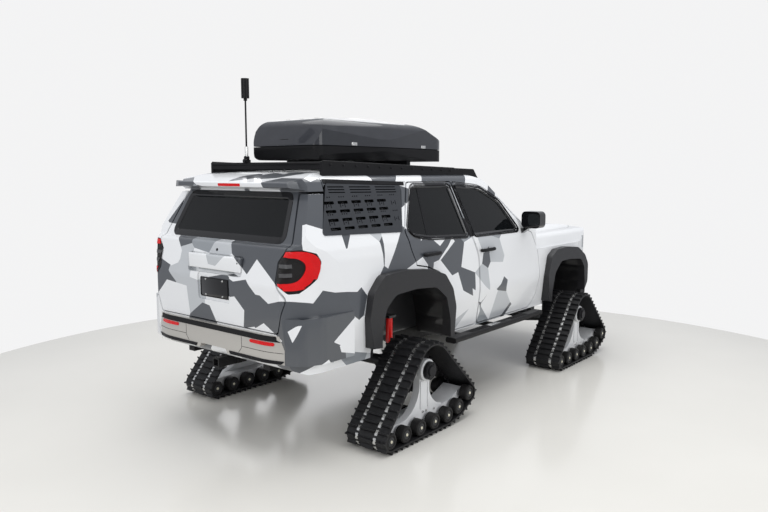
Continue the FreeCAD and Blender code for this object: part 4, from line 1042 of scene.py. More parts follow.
def patch(corners: Line, lift: float, place: Place, counts: tuple[int, int] = (10, 6),
          squareness: float = 0.75) -> Shape:
    """A raised plate with rounded corners that lies on a surface.

    Args:
        corners: four corners in order, in the surface's two coordinates.
        lift: its height over the surface.
        place: gives the surface's point and normal.
        counts: divisions each way.
        squareness: 1 for sharp corners, 0 for an ellipse.

    Returns:
        The closed plate.
    """
    across, along = counts
    quads = [Vector(corner) for corner in corners]
    pull = 1.0 - squareness
    feet = []
    for step in range(along + 1):
        for part in range(across + 1):
            s, t = 2 * part / across - 1, 2 * step / along - 1
            u = s * math.sqrt(1 - pull * t * t / 2)
            v = t * math.sqrt(1 - pull * s * s / 2)
            u, v = (u + 1) / 2, (v + 1) / 2
            spot = quads[0].lerp(quads[1], u).lerp(quads[3].lerp(quads[2], u), v)
            feet.append(place(spot.x, spot.y))
    shape = Shape([foot + normal * lift for foot, normal in feet]
                  + [foot - normal * PLATE_FOOT for foot, normal in feet])
    wide = across + 1
    base = wide * (along + 1)
    for step in range(along):
        for part in range(across):
            here = step * wide + part
            shape.faces.append((here, here + 1, here + wide + 1, here + wide))
            shape.faces.append((base + here, base + here + wide, base + here + wide + 1,
                                base + here + 1))
    rim = ([index for index in range(wide)]
           + [step * wide + across for step in range(1, along + 1)]
           + [along * wide + part for part in range(across - 1, -1, -1)]
           + [step * wide for step in range(along - 1, 0, -1)])
    for index, here in enumerate(rim):
        there = rim[(index + 1) % len(rim)]
        shape.faces.append((there, here, base + here, base + there))
    return shape


def extruded(outline: Line, lift: Callable[[float, float, float], Vector],
             low: float, high: float) -> Shape:
    """An outline pushed through from low to high; lift turns (u, v, depth) into a point."""
    return lofted([[lift(u, v, depth) for u, v in outline] for depth in (low, high)])


class Skin:
    """The outer surface of some CAD nodes, found by looking along an axis."""

    def __init__(self, names: Sequence[str], frame: dict) -> None:
        """Gather the nodes' triangles.

        Args:
            names: the CAD nodes.
            frame: the loaded frame.
        """
        verts: list[Vector] = []
        faces: list[tuple[int, ...]] = []
        for name in names:
            mesh = frame["nodes"][name].data
            base = len(verts)
            verts.extend(vert.co.copy() for vert in mesh.vertices)
            faces.extend(tuple(base + index for index in face.vertices) for face in mesh.polygons)
        self.tree = BVHTree.FromPolygons(verts, faces)
        self.low = Vector(min(vert[axis] for vert in verts) for axis in range(3))
        self.high = Vector(max(vert[axis] for vert in verts) for axis in range(3))

    def look(self, start: Vector, ray: Vector) -> tuple[Vector, Vector]:
        """First point and outward normal along a ray, or the nearest point.

        Args:
            start: where the ray starts.
            ray: its direction.

        Returns:
            The point and its normal.
        """
        point, normal, _, _ = self.tree.ray_cast(start, ray)
        if point is None:
            point, normal, _, _ = self.tree.find_nearest(start + ray * 2.0)
        if normal.dot(ray) > 0:
            normal = -normal
        return point, normal

    def rear(self, y: float, z: float) -> tuple[Vector, Vector]:
        """Seen from behind."""
        return self.look(Vector((-3.4, y, z)), Vector((1, 0, 0)))

    def front(self, y: float, z: float) -> tuple[Vector, Vector]:
        """Seen from in front."""
        return self.look(Vector((3.4, y, z)), Vector((-1, 0, 0)))

    def top(self, x: float, y: float) -> tuple[Vector, Vector]:
        """Seen from above."""
        return self.look(Vector((x, y, 3.6)), Vector((0, 0, -1)))

    def corner(self, hand: float, x: float, y: float) -> Place:
        """Seen at 45 degrees over the rear corner at (x, y), with u running outward.

        Args:
            hand: left (1) or right (-1).
            x: the corner's length place.
            y: its distance from the middle.

        Returns:
            The surface in u and z.
        """
        ray = Vector((1, -hand, 0)).normalized()
        across = Vector((1, hand, 0)).normalized()
        middle = Vector((x, hand * y, 0))
        return lambda u, z: self.look(middle + across * u + Vector((0, 0, z)) - ray * 1.5, ray)

    def side(self, hand: float) -> Place:
        """Seen from the left (1) or right (-1)."""
        return lambda x, z: self.look(Vector((x, hand * 2.2, z)), Vector((0, -hand, 0)))


class Workshop:
    """Makes pieces out of shapes and dresses CAD nodes."""

    def __init__(self, frame: dict, palette: Palette) -> None:
        """Keep the frame and the finishes.

        Args:
            frame: the loaded frame.
            palette: the finishes.
        """
        self.frame = frame
        self.palette = palette
        self.faces = 0

    def piece(self, name: str, shape: Shape, finish: str, body: str = "vehicle",
              smooth: float = 35.0, subdivide: int = 0) -> bpy.types.Object:
        """Turn a shape into a piece that rides on a body.

        Args:
            name: the piece's name.
            shape: its mesh.
            finish: its finish in the palette.
            body: the body that it rides on.
            smooth: edges flatter than this many degrees are smooth.
            subdivide: levels of subdivision.

        Returns:
            The new object.
        """
        mesh = bpy.data.meshes.new(name)
        mesh.from_pydata(shape.verts, [], shape.faces)
        mesh.validate()
        tidy = bmesh.new()
        tidy.from_mesh(mesh)
        bmesh.ops.recalc_face_normals(tidy, faces=tidy.faces[:])
        tidy.to_mesh(mesh)
        tidy.free()
        made = bpy.data.objects.new(name, mesh)
        bpy.context.scene.collection.objects.link(made)
        if subdivide:
            made.modifiers.new("round", "SUBSURF").levels = subdivide
            made.modifiers["round"].render_levels = subdivide
        mesh.shade_smooth()
        mesh.set_sharp_from_angle(angle=math.radians(smooth))
        made.data.materials.append(self.palette.material(finish))
        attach(made, body)
        self.palette.slot(finish)
        self.faces += len(mesh.polygons)
        LOG.info("%s rides on %s, %d faces", name, body, len(mesh.polygons))
        return made

    def dress(self, *groups: Sequence[str]) -> None:
        """Give CAD nodes their finishes; each group is a finish and its nodes.

        Args:
            groups: a finish's name, then its nodes' names.
        """
        for finish, *nodes in groups:
            for node in nodes:
                item = self.frame["nodes"][node]
                item.data.materials.clear()
                item.data.materials.append(self.palette.material(finish))
                LOG.info("%s is dressed in %s", node, finish)

    def skin(self, *names: str) -> Skin:
        """The outer surface of some CAD nodes."""
        return Skin(names, self.frame)

    def joint(self, name: str) -> Vector:
        """Where a joint stands."""
        found = next(item for item in self.frame["joints"] if item["name"] == name)
        return Vector(found["pos_m"])


# ---------------------------------------------------------------- sub-assemblies


@dataclass
class Coachwork:
    """Paint, glass surrounds, handles and side trim of the cabin body."""

    shop: Workshop
    finishes: tuple = (
        ("camo_paint", "body_shell", "tailgate", "door_front_left", "door_front_right",
         "door_rear_left", "door_rear_right"),
        ("plain_paint", "hood"),
        ("screen_glass", "fixed_glass"),
        ("privacy_glass", "tailgate_glass", "glass_front_left", "glass_front_right",
         "glass_rear_left", "glass_rear_right"),
        ("gloss_black", "mirror_left", "mirror_right"),
        ("flare_coat", "fender_flares"),
        ("panel_coat", "side_panels"),
        ("frame_paint", "side_steps"))
    windows: tuple = (
        ("front", ((-0.228, 1.494), (-0.318, 1.951), (0.100, 1.917), (0.383, 1.784),
                   (0.604, 1.488))),
        ("rear", ((-0.322, 1.494), (-0.400, 1.953), (-0.965, 1.957), (-1.176, 1.610),
                  (-1.116, 1.553), (-0.902, 1.520))))
    gate_window: tuple = ((0.650, 1.588), (0.585, 1.903), (-0.585, 1.903), (-0.650, 1.588))
    window_bend: float = 0.05
    surround: tuple[float, float] = (0.044, 0.004)  # width and lift
    seal: tuple[float, float] = (0.012, 0.008)
    gate_surround: tuple[float, float] = (0.05, 0.004)
    bar_line: tuple = ((-0.926, 1.545), (-0.874, 1.935))
    bar_size: tuple[float, float] = (0.014, 0.003)
    pillars: tuple = (("rear", ((-0.290, 1.488), (-0.373, 1.955)), 0.034),
                      ("front", ((-0.230, 1.492), (-0.319, 1.950)), 0.036))
    pillar_lift: float = 0.0055
    handle_spans: tuple = (("front", -0.148, 0.092, 1.345), ("rear", -1.032, -0.800, 1.385))
    handle_cup: tuple[float, float] = (0.062, 0.04)
    handle_stations: tuple = (0.0, 0.04, 0.12, 0.3, 0.5, 0.7, 0.88, 0.96, 1.0)
    cup_lift: float = 0.0025
    handle_reach: float = 0.034
    handle_radius: float = 0.0165
    drip_line: tuple = ((-1.00, 1.972), (-2.06, 2.004))
    drip_size: tuple[float, float] = (0.034, 0.006)
    sill_line: tuple = ((-0.60, 0.664), (0.84, 0.664))
    sill_size: tuple[float, float] = (0.03, 0.006)
    mirror_face: tuple[float, float, float] = (0.062, 1.540, 1.655)  # half width, low and high
    mirror_shift: float = 0.045
    pad_starts: tuple = (-0.40, 0.32)
    pad_count: int = 9
    pad_pitch: float = 0.036
    pad_size: tuple[float, float, float] = (0.020, 0.036, 0.004)  # length, half width and rise
    tread_inset: float = 0.055
    tread_sink: float = 0.001
    step_plate: tuple[float, float] = (-0.07, 0.11)
    step_plate_size: tuple[float, float] = (0.030, 0.003)  # half width and rise
    mark_rows: tuple = (1.702, 1.764, 1.826, 1.888)
    mark_columns: int = 6
    mark_start: float = -2.030
    mark_pitch: float = 0.15
    mark_slant: float = 0.008  # shift from row to row
    mark_step: float = 0.024  # spacing inside a group
    tick: tuple[float, float] = (0.016, 0.007)  # half height and width
    dot: tuple[float, float] = (0.0055, 0.0015)  # radius and height
    mark_lift: float = 0.0008
    mark_bars: tuple = ((-2.06, -1.80, 1.963), (-1.74, -1.50, 1.958), (-1.44, -1.19, 1.953))
    bar_drops: tuple = (0.0, 0.020, 0.040)
    bar_width: float = 0.009
    flap: tuple = (-1.93, 1.30, -1.76, 1.45)
    flap_round: float = 0.03
    flap_seam: tuple[float, float] = (0.005, 0.0008)
    wiper_spans: tuple = (("left", 0.06, 0.60), ("right", -0.56, -0.02))
    wiper_parts: int = 8
    blade_foot: float = 1.575
    blade_climb: float = 0.02
    arm_heights: tuple[float, float] = (1.535, 1.582)  # root, and joint with the blade

    def window_frames(self) -> None:
        """Black surrounds on the side doors and the tailgate."""
        for hand, side in HANDS.items():
            for end, outline in self.windows:
                door = f"door_{end}_{hand}"
                skin = self.shop.skin(door, f"glass_{end}_{hand}")
                line = rounded(outline, self.window_bend)
                for name, size, finish in (("frame", self.surround, "gloss_black"),
                                           ("seal", self.seal, "satin_black")):
                    strip = ribbon(line, *size, skin.side(side), gap=0.02)
                    self.shop.piece(f"window_{name}_{end}_{hand}", strip, finish, door)
            pane = self.shop.skin(f"glass_rear_{hand}").side(side)
            bar = ribbon(self.bar_line, *self.bar_size, pane, closed=False, gap=0.05)
            self.shop.piece(f"window_bar_{hand}", bar, "satin_black", f"door_rear_{hand}")
            for end, line, width in self.pillars:
                door = f"door_{end}_{hand}"
                cover = ribbon(line, width, self.pillar_lift, self.shop.skin(door).side(side),
                               closed=False)
                self.shop.piece(f"pillar_trim_{end}_{hand}", cover, "satin_black", door)
        skin = self.shop.skin("tailgate", "tailgate_glass")
        strip = ribbon(rounded(self.gate_window, self.window_bend), *self.gate_surround,
                       skin.rear, gap=0.02)
        self.shop.piece("window_frame_tailgate", strip, "gloss_black", "tailgate")

    def handles(self) -> None:
        """Pull handles over their cups."""
        wide, tall = self.handle_cup
        for hand, side in HANDS.items():
            for end, low, high, height in self.handle_spans:
                door = f"door_{end}_{hand}"
                place = self.shop.skin(door).side(side)
                middle = (low + high) / 2
                cup = patch(rectangle(middle - wide, height - tall, middle + wide, height + tall),
                            self.cup_lift, place, (12, 8), 0.3)
                self.shop.piece(f"handle_cup_{end}_{hand}", cup, "camo_paint", door)
                line = []
                for share in self.handle_stations:
                    foot, normal = place(low + (high - low) * share, height + 0.004)
                    rise = min(1.0, math.sin(math.pi * share) * 3 + 0.15)
                    line.append(foot + normal * self.handle_reach * rise)
                bar = swept(line, self.handle_radius, 12)
                self.shop.piece(f"handle_{end}_{hand}", bar, "satin_black", door, subdivide=1)

    def side_trim(self) -> None:
        """Drip rails, panel marks, rocker strips, step treads and mirror glass."""
        wide, low, high = self.mirror_face
        for hand, side in HANDS.items():
            place = self.shop.skin("body_shell", "side_panels").side(side)
            rail = ribbon(self.drip_line, *self.drip_size, place, closed=False)
            self.shop.piece(f"drip_rail_{hand}", rail, "satin_black")
            self.panel_marks(hand, side)
            strip = ribbon(self.sill_line, *self.sill_size,
                           self.shop.skin("body_shell").side(side), closed=False)
            self.shop.piece(f"sill_strip_{hand}", strip, "grained_black")
            self.step_treads(hand, side)
            mirror = self.shop.skin(f"mirror_{hand}")
            middle = (mirror.low.y + mirror.high.y) / 2 + side * self.mirror_shift
            face = patch(rectangle(middle - wide, low, middle + wide, high), 0.002, mirror.rear,
                         (8, 8), 0.5)
            self.shop.piece(f"mirror_face_{hand}", face, "mirror_glass", f"door_front_{hand}")

    def step_treads(self, hand: str, side: float) -> None:
        """Ribbed pads on top of a side step, and a bright insert.

        Args:
            hand: the side's name.
            side: left (1) or right (-1).
        """
        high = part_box("side_steps")[1]
        top, middle = high.z - self.tread_sink, side * (high.y - self.tread_inset)
        long, half, rise = self.pad_size
        pads = Shape()
        for start in self.pad_starts:
            for index in range(self.pad_count):
                x = start + index * self.pad_pitch
                pads.add(block((x, middle - half, top), (x + long, middle + half, top + rise),
                               0.0015, 1))
        self.shop.piece(f"step_pads_{hand}", pads, "grained_black")
        back, ahead = self.step_plate
        half, rise = self.step_plate_size
        plate = block((back, middle - half, top), (ahead, middle + half, top + rise), 0.001)
        self.shop.piece(f"step_plate_{hand}", plate, "bright_steel")

    def panel_marks(self, hand: str, side: float) -> None:
        """Dark slots, bars and dots between the cut slots of a side panel.

        Args:
            hand: the side's name.
            side: left (1) or right (-1).
        """
        place = self.shop.skin("side_panels").side(side)
        half, wide = self.tick
        marks = Shape()
        for row, height in enumerate(self.mark_rows):
            for column in range(self.mark_columns):
                x = self.mark_start + column * self.mark_pitch + row * self.mark_slant
                for step in (-1, 0, 1):
                    across = x + step * self.mark_step
                    if row % 2 == 0 and step:
                        marks.add(ribbon([(across, height - half), (across, height + half)],
                                         wide, self.mark_lift, place, closed=False))
                    else:
                        foot, normal = place(across, height)
                        marks.add(disc(*self.dot, foot - normal * 0.0007, normal, 0.0003, 10))
        for low, high, height in self.mark_bars:
            for drop in self.bar_drops:
                marks.add(ribbon([(low, height - drop), (high, height - drop - 0.004)],
                                 self.bar_width, self.mark_lift, place, closed=False, gap=0.05))
        self.shop.piece(f"panel_marks_{hand}", marks, "slot_shade")

    def fuel_flap(self) -> None:
        """A round-cornered flap line on the left rear quarter."""
        seam = ribbon(rounded(rectangle(*self.flap), self.flap_round), *self.flap_seam,
                      self.shop.skin("body_shell").side(HANDS["left"]), gap=0.02)
        self.shop.piece("fuel_flap_seam", seam, "satin_black")

    def wipers(self) -> None:
        """Two wipers at the foot of the windscreen."""
        place = self.shop.skin("fixed_glass").front
        low, middle = self.arm_heights
        for name, root, tip in self.wiper_spans:
            shares = [part / self.wiper_parts for part in range(self.wiper_parts + 1)]
            blade = [place(root + (tip - root) * share, self.blade_foot + self.blade_climb * share)
                     for share in shares]
            bar = swept([spot + normal * 0.012 for spot, normal in blade], 0.006, 8)
            foot, normal = place(root, low)
            joint, tilt = place((root + tip) / 2, middle)
            bar.add(swept([foot + normal * 0.004, foot.lerp(joint, 0.5) + normal * 0.024,
                           joint + tilt * 0.018], 0.007, 8))
            self.shop.piece(f"wiper_{name}", bar, "satin_black")

    def build(self) -> None:
        """Make everything."""
        self.shop.dress(*self.finishes)
        self.window_frames()
        self.handles()
        self.side_trim()
        self.fuel_flap()
        self.wipers()


@dataclass
class TailEnd:
    """Lamps, plate, garnish and bumper fittings at the back."""

    shop: Workshop
    lamp_corner: tuple[float, float] = (-2.36, 0.80)
    guide_outer: tuple = ((-0.098, 1.520), (-0.02, 1.530), (0.085, 1.524), (0.160, 1.480),
                          (0.168, 1.395), (0.118, 1.290), (0.02, 1.256), (-0.118, 1.258))
    guide_inner: tuple = ((-0.112, 1.488), (-0.04, 1.486), (0.018, 1.478), (0.066, 1.440),
                          (0.060, 1.385), (0.020, 1.330), (-0.03, 1.308), (-0.130, 1.306))
    guide_lift: float = 0.006
    bar_heights: tuple = (1.362, 1.424)
    bar_size: tuple[float, float] = (0.030, 0.005)
    brake_lamp: tuple = (-0.13, 1.963, 0.13, 1.984)
    garnish: tuple = ((0.004, -0.313, 1.342), (0.055, 0.313, 1.453), 0.012, 4)
    lamp_strip: tuple = ((0.022, -0.200, 1.332), (0.052, 0.200, 1.343), 0.003)
    plate: tuple = (-0.165, 1.128, 0.165, 1.278)
    plate_depth: tuple[float, float] = (0.0105, 0.021)
    plate_rim: tuple[float, float, float] = (0.004, 0.007, 0.002)  # inset, width and lift
    screw_places: tuple = ((-0.1, 1.145), (-0.1, 1.262), (0.1, 1.145), (0.1, 1.262))
    stud_place: float = -0.285
    stud_heights: tuple = (1.412, 1.432)
    lock_height: float = 1.490
    pad: tuple = (-0.757, 0.890, 0.757, 0.929)
    tread_start: float = -2.432
    tread_count: int = 7
    tread_pitch: float = 0.011
    tread_half: float = 0.60
    valance: tuple = ((0.205, 0.733), (0.72, 0.733), (0.745, 0.757), (0.190, 0.757))
    reflector: tuple = (0.430, 0.858, 0.668, 0.884)
    seams: tuple = (((0.335, 0.885), (0.335, 0.80), (0.30, 0.762)),
                    ((0.340, 0.812), (0.735, 0.812)))

    def lamps(self) -> None:
        """Red C-shaped guides, pale bars and the high brake lamp."""
        self.shop.dress(("smoked_lens", "tail_lamps"))
        skin = self.shop.skin("tail_lamps")
        guides, bars = Shape(), Shape()
        for side in HANDS.values():
            place = skin.corner(side, *self.lamp_corner)
            guides.add(between(rounded_line(self.guide_outer), rounded_line(self.guide_inner),
                               self.guide_lift, place))
            for height in self.bar_heights:
                bars.add(ribbon([(-0.118, height), (-0.030, height + 0.003)], *self.bar_size,
                                place, closed=False, gap=0.015))
        self.shop.piece("lamp_guides", guides, "red_lens")
        self.shop.piece("lamp_bars", bars, "grey_lens")
        high = patch(rectangle(*self.brake_lamp), 0.003, self.shop.skin("tailgate").rear,
                     (12, 3), 0.9)
        self.shop.piece("high_brake_lamp", high, "red_lens", "tailgate")

    def gate_fittings(self) -> None:
        """Garnish bar, lock, camera stud and a blank plate on its screws."""
        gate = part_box("tailgate")[0].x
        bar = block(*self.garnish).shifted(gate, 0, 0)
        self.shop.piece("gate_garnish", bar, "camo_paint", "tailgate")
        under = block(*self.lamp_strip).shifted(gate, 0, 0)
        self.shop.piece("gate_lamp_strip", under, "clear_lens", "tailgate")
        seat, front = (gate + depth for depth in self.plate_depth)
        left, low, right, high = self.plate
        plate = block((seat, left, low), (front, right, high), 0.004)
        self.shop.piece("plate_blank", plate, "gloss_black", "tailgate")
        inset, *size = self.plate_rim
        rim = rectangle(left + inset, low + inset, right - inset, high - inset)
        self.shop.piece("plate_rim", ribbon(rounded(rim, 0.012), *size, flat_rear(seat)),
                        "satin_black", "tailgate")
        screws = joined(bolt((seat, y, z), BACKWARD, 0.006) for y, z in self.screw_places)
        self.shop.piece("plate_screws", screws, "bright_steel", "tailgate")
        studs = joined(disc(0.006, 0.003, (gate + 0.005, self.stud_place, z), BACKWARD, 0.001)
                       for z in self.stud_heights)
        lock, normal = self.shop.skin("tailgate").rear(0.0, self.lock_height)
        studs.add(disc(0.011, 0.004, lock - normal * 0.001, normal, 0.001))
        self.shop.piece("gate_studs", studs, "satin_black", "tailgate")

    def bumper(self) -> None:
        """Step pad, reflectors and black valance on the rear bumper."""
        self.shop.dress(("bumper_paint", "rear_bumper"))
        skin = self.shop.skin("rear_bumper")
        pad = patch(rectangle(*self.pad), 0.005, skin.rear, (40, 3), 0.97)
        self.shop.piece("bumper_pad", pad, "grained_black")
        top = skin.high.z
        tread = Shape()
        for index in range(self.tread_count):
            low = self.tread_start + index * self.tread_pitch
            tread.add(block((low, -self.tread_half, top - 0.001),
                            (low + 0.006, self.tread_half, top + 0.003), 0.001))
        self.shop.piece("bumper_tread", tread, "grained_black")
        valance, reflectors, seams = Shape(), Shape(), Shape()
        for side in HANDS.values():
            valance.add(patch(handed(self.valance, side), 0.005, skin.rear, (20, 4), 0.95))
            corners = handed(rectangle(*self.reflector), side)
            reflectors.add(patch(corners, 0.006, skin.rear, (14, 4), 0.7))
            for line in self.seams:
                seams.add(ribbon(handed(line, side), 0.004, 0.0008, skin.rear, closed=False))
        self.shop.piece("bumper_valance", valance, "satin_black")
        # The red lens glows on these reflectors too: painted glow, as they are no lamps.
        self.shop.piece("bumper_reflectors", reflectors, "red_lens")
        self.shop.piece("bumper_seams", seams, "grained_black")

    def build(self) -> None:
        """Make everything."""
        self.lamps()
        self.gate_fittings()
        self.bumper()


@dataclass
class FrontEnd:
    """Grille, headlamps and bumper fittings at the nose."""

    shop: Workshop
    bowl_places: tuple = (0.575, 0.655, 0.735)
    bowl_height: float = 1.245
    bowl_profile: tuple = ((0.030, -0.006), (0.032, 0.002), (0.028, 0.004), (0.012, -0.001))
    guide_line: tuple = ((0.525, 1.288), (0.80, 1.306))
    guide_size: tuple[float, float] = (0.012, 0.004)
    fog_place: tuple[float, float] = (0.68, 0.82)
    fog_size: tuple[float, float] = (0.042, 0.012)
    loop_place: tuple[float, float] = (0.50, 0.70)
    loop_reach: tuple[float, float] = (0.018, 0.045)  # out of the bumper, and up and down
    loop_radius: float = 0.008
    grid_bars: int = 23
    grid_pitch: float = 0.04
    grid_bar: tuple[float, float] = (0.008, 0.003)  # depth and half width
    grid_insets: tuple[float, float] = (0.03, 0.02)  # under and over
    skid: tuple = ((-0.30, 0.650), (0.30, 0.650), (0.36, 0.735), (-0.36, 0.735))

    def lamps(self) -> None:
        """Headlamp bowls and guides, fog lamps and tow loops."""
        lamps, nose = self.shop.skin("headlamps"), self.shop.skin("front_bumper")
        bowls, guides, hooks, fogs = Shape(), Shape(), Shape(), Shape()
        for side in HANDS.values():
            for y in self.bowl_places:
                foot, normal = lamps.front(side * y, self.bowl_height)
                bowls.add(turned(self.bowl_profile, foot, normal, 24))
            guides.add(ribbon(handed(self.guide_line, side), *self.guide_size, lamps.front,
                              closed=False))
            foot, normal = nose.front(side * self.fog_place[0], self.fog_place[1])
            fogs.add(disc(*self.fog_size, foot - normal * 0.004, normal, 0.006))
            foot = nose.front(side * self.loop_place[0], self.loop_place[1])[0]
            out, up = self.loop_reach
            ring = [foot + Vector((0.006 + out * math.cos(turn), 0, up * math.sin(turn)))
                    for turn in turns(8)]
            hooks.add(swept(ring, self.loop_radius, 10, closed=True))
        self.shop.piece("headlamp_bowls", bowls, "lamp_bowl")
        self.shop.piece("headlamp_guides", guides, "clear_lens")
        self.shop.piece("fog_lamps", fogs, "clear_lens")
        self.shop.piece("tow_loops", hooks, "satin_black")

    def grid(self) -> None:
        """Upright bars behind the grille."""
        low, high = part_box("grille")
        back = low.x - 0.004
        deep, half = self.grid_bar
        under, over = self.grid_insets
        grid = Shape()
        for index in range(self.grid_bars):
            y = (index - self.grid_bars // 2) * self.grid_pitch
            grid.add(block((back, y - half, low.z + under), (back + deep, y + half, high.z - over),
                           0.001, 1))
        self.shop.piece("grille_grid", grid, "satin_black")

    def build(self) -> None:
        """Make everything."""
        self.shop.dress(("clear_lens", "headlamps"), ("satin_black", "grille"),
                        ("grained_black", "front_bumper"))
        self.lamps()
        self.grid()
        plate = patch(self.skid, 0.005, self.shop.skin("front_bumper").front, (16, 6), 0.9)
        self.shop.piece("skid_plate", plate, "bright_steel")


@dataclass
class RoofKit:
    """Rack, luggage box and mast."""

    shop: Workshop
    bolt_start: float = 0.09
    bolt_height: float = 2.122
    bolt_count: int = 12
    bolt_pitch: float = 0.145
    bolt_fall: float = 0.0038
    lip_ends: tuple = ((0.01, 2.149), (1.75, 2.101))  # distance from the rear, and height
    lip_inset: float = 0.006
    lip_radius: float = 0.007
    rib_ends: tuple = ((0.0, 0.0), (0.17, 0.10), (-0.17, -0.10))
    rib_run: tuple = (0.22, 0.9, 0.28)  # start and bend from the rear, end from the front
    rib_size: tuple[float, float] = (0.05, 0.004)
    catch_insets: tuple[float, float] = (0.42, 0.45)  # from the rear and from the front
    catch: tuple = ((-0.032, -0.006, 0.002), (0.032, 0.012, 0.030), 0.004)
    pull: tuple = ((-0.006, -0.05, 0.03), (0.02, 0.05, 0.055), 0.005)
    ring_size: tuple[float, float] = (0.0325, 0.004)
    ring_drop: float = 0.130
    ring_count: int = 3
    ring_pitch: float = 0.052
    knob_height: float = 2.158
    sleeve: tuple = ((0.0125, 0), (0.013, 0.004), (0.013, 0.075), (0.011, 0.08))
    knob: tuple = ((0.004, 0), (0.005, 0.012), (0.014, 0.014), (0.015, 0.026), (0.012, 0.03))

    def rack(self) -> None:
        """Lips and bolts of the rack."""
        low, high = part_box("roof_rack")
        bolts, lips = Shape(), Shape()
        for side in HANDS.values():
            edge = side * (high.y + 0.0005)
            for index in range(self.bolt_count):
                x = low.x + self.bolt_start + index * self.bolt_pitch
                bolts.add(bolt((x, edge, self.bolt_height - index * self.bolt_fall),
                               (0, side, 0), 0.008))
            lips.add(swept([(low.x + ahead, side * (high.y - self.lip_inset), height)
                            for ahead, height in self.lip_ends], self.lip_radius, 8))
        self.shop.piece("rack_bolts", bolts, "sprocket_coat")
        self.shop.piece("rack_lips", lips, "rack_coat")

    def box(self) -> None:
        """Lid ribs, catches and pull of the luggage box."""
        lid = self.shop.skin("roof_box_lid")
        low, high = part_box("roof_box_lid")
        start, bend, end = self.rib_run
        ribs = Shape()
        for y0, y1 in self.rib_ends:
            line = [(low.x + start, y0), (low.x + bend, (y0 + y1) / 2), (high.x - end, y1)]
            ribs.add(ribbon(rounded_line(line), *self.rib_size, lid.top, closed=False, gap=0.04))
        self.shop.piece("lid_ribs", ribs, "box_gloss", "roof_box_lid")
        catches = Shape()
        for x in (low.x + self.catch_insets[0], high.x - self.catch_insets[1]):
            wall = lid.look(Vector((x, -2.0, low.z + 0.02)), Vector(OUTWARD))[0].y
            catches.add(block(*self.catch).shifted(x, wall, low.z))
        self.shop.piece("lid_catches", catches, "bright_steel", "roof_box_lid")
        tail = lid.rear(0.0, low.z + 0.06)[0].x
        pull = block(*self.pull).shifted(tail, 0, low.z)
        self.shop.piece("lid_pull", pull, "box_textured", "roof_box_lid")

    def mast(self) -> None:
        """Head ribs, collar and clamp knob of the mast."""
        low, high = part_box("mast")
        centre = (low + high) / 2
        rings = joined(disc(*self.ring_size, (centre.x, centre.y, high.z - self.ring_drop
                                              + index * self.ring_pitch), UPWARD, 0.001)
                       for index in range(self.ring_count))
        self.shop.piece("mast_rings", rings, "satin_black", "mast")
        sleeve = turned(self.sleeve, (centre.x, centre.y, low.z + 0.02), UPWARD, 20)
        self.shop.piece("mast_sleeve", sleeve, "bright_steel", "mast")
        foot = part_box("mast_foot")[0].x
        knob = turned(self.knob, (foot + 0.004, centre.y - 0.02, self.knob_height), BACKWARD, 18)
        self.shop.piece("mast_knob", knob, "satin_black")

    def build(self) -> None:
        """Make everything."""
        self.shop.dress(("rack_coat", "roof_rack", "mast_foot"),
                        ("box_textured", "roof_box_base"), ("box_gloss", "roof_box_lid"),
                        ("mast_shell", "mast"))
        self.rack()
        self.box()
        self.mast()


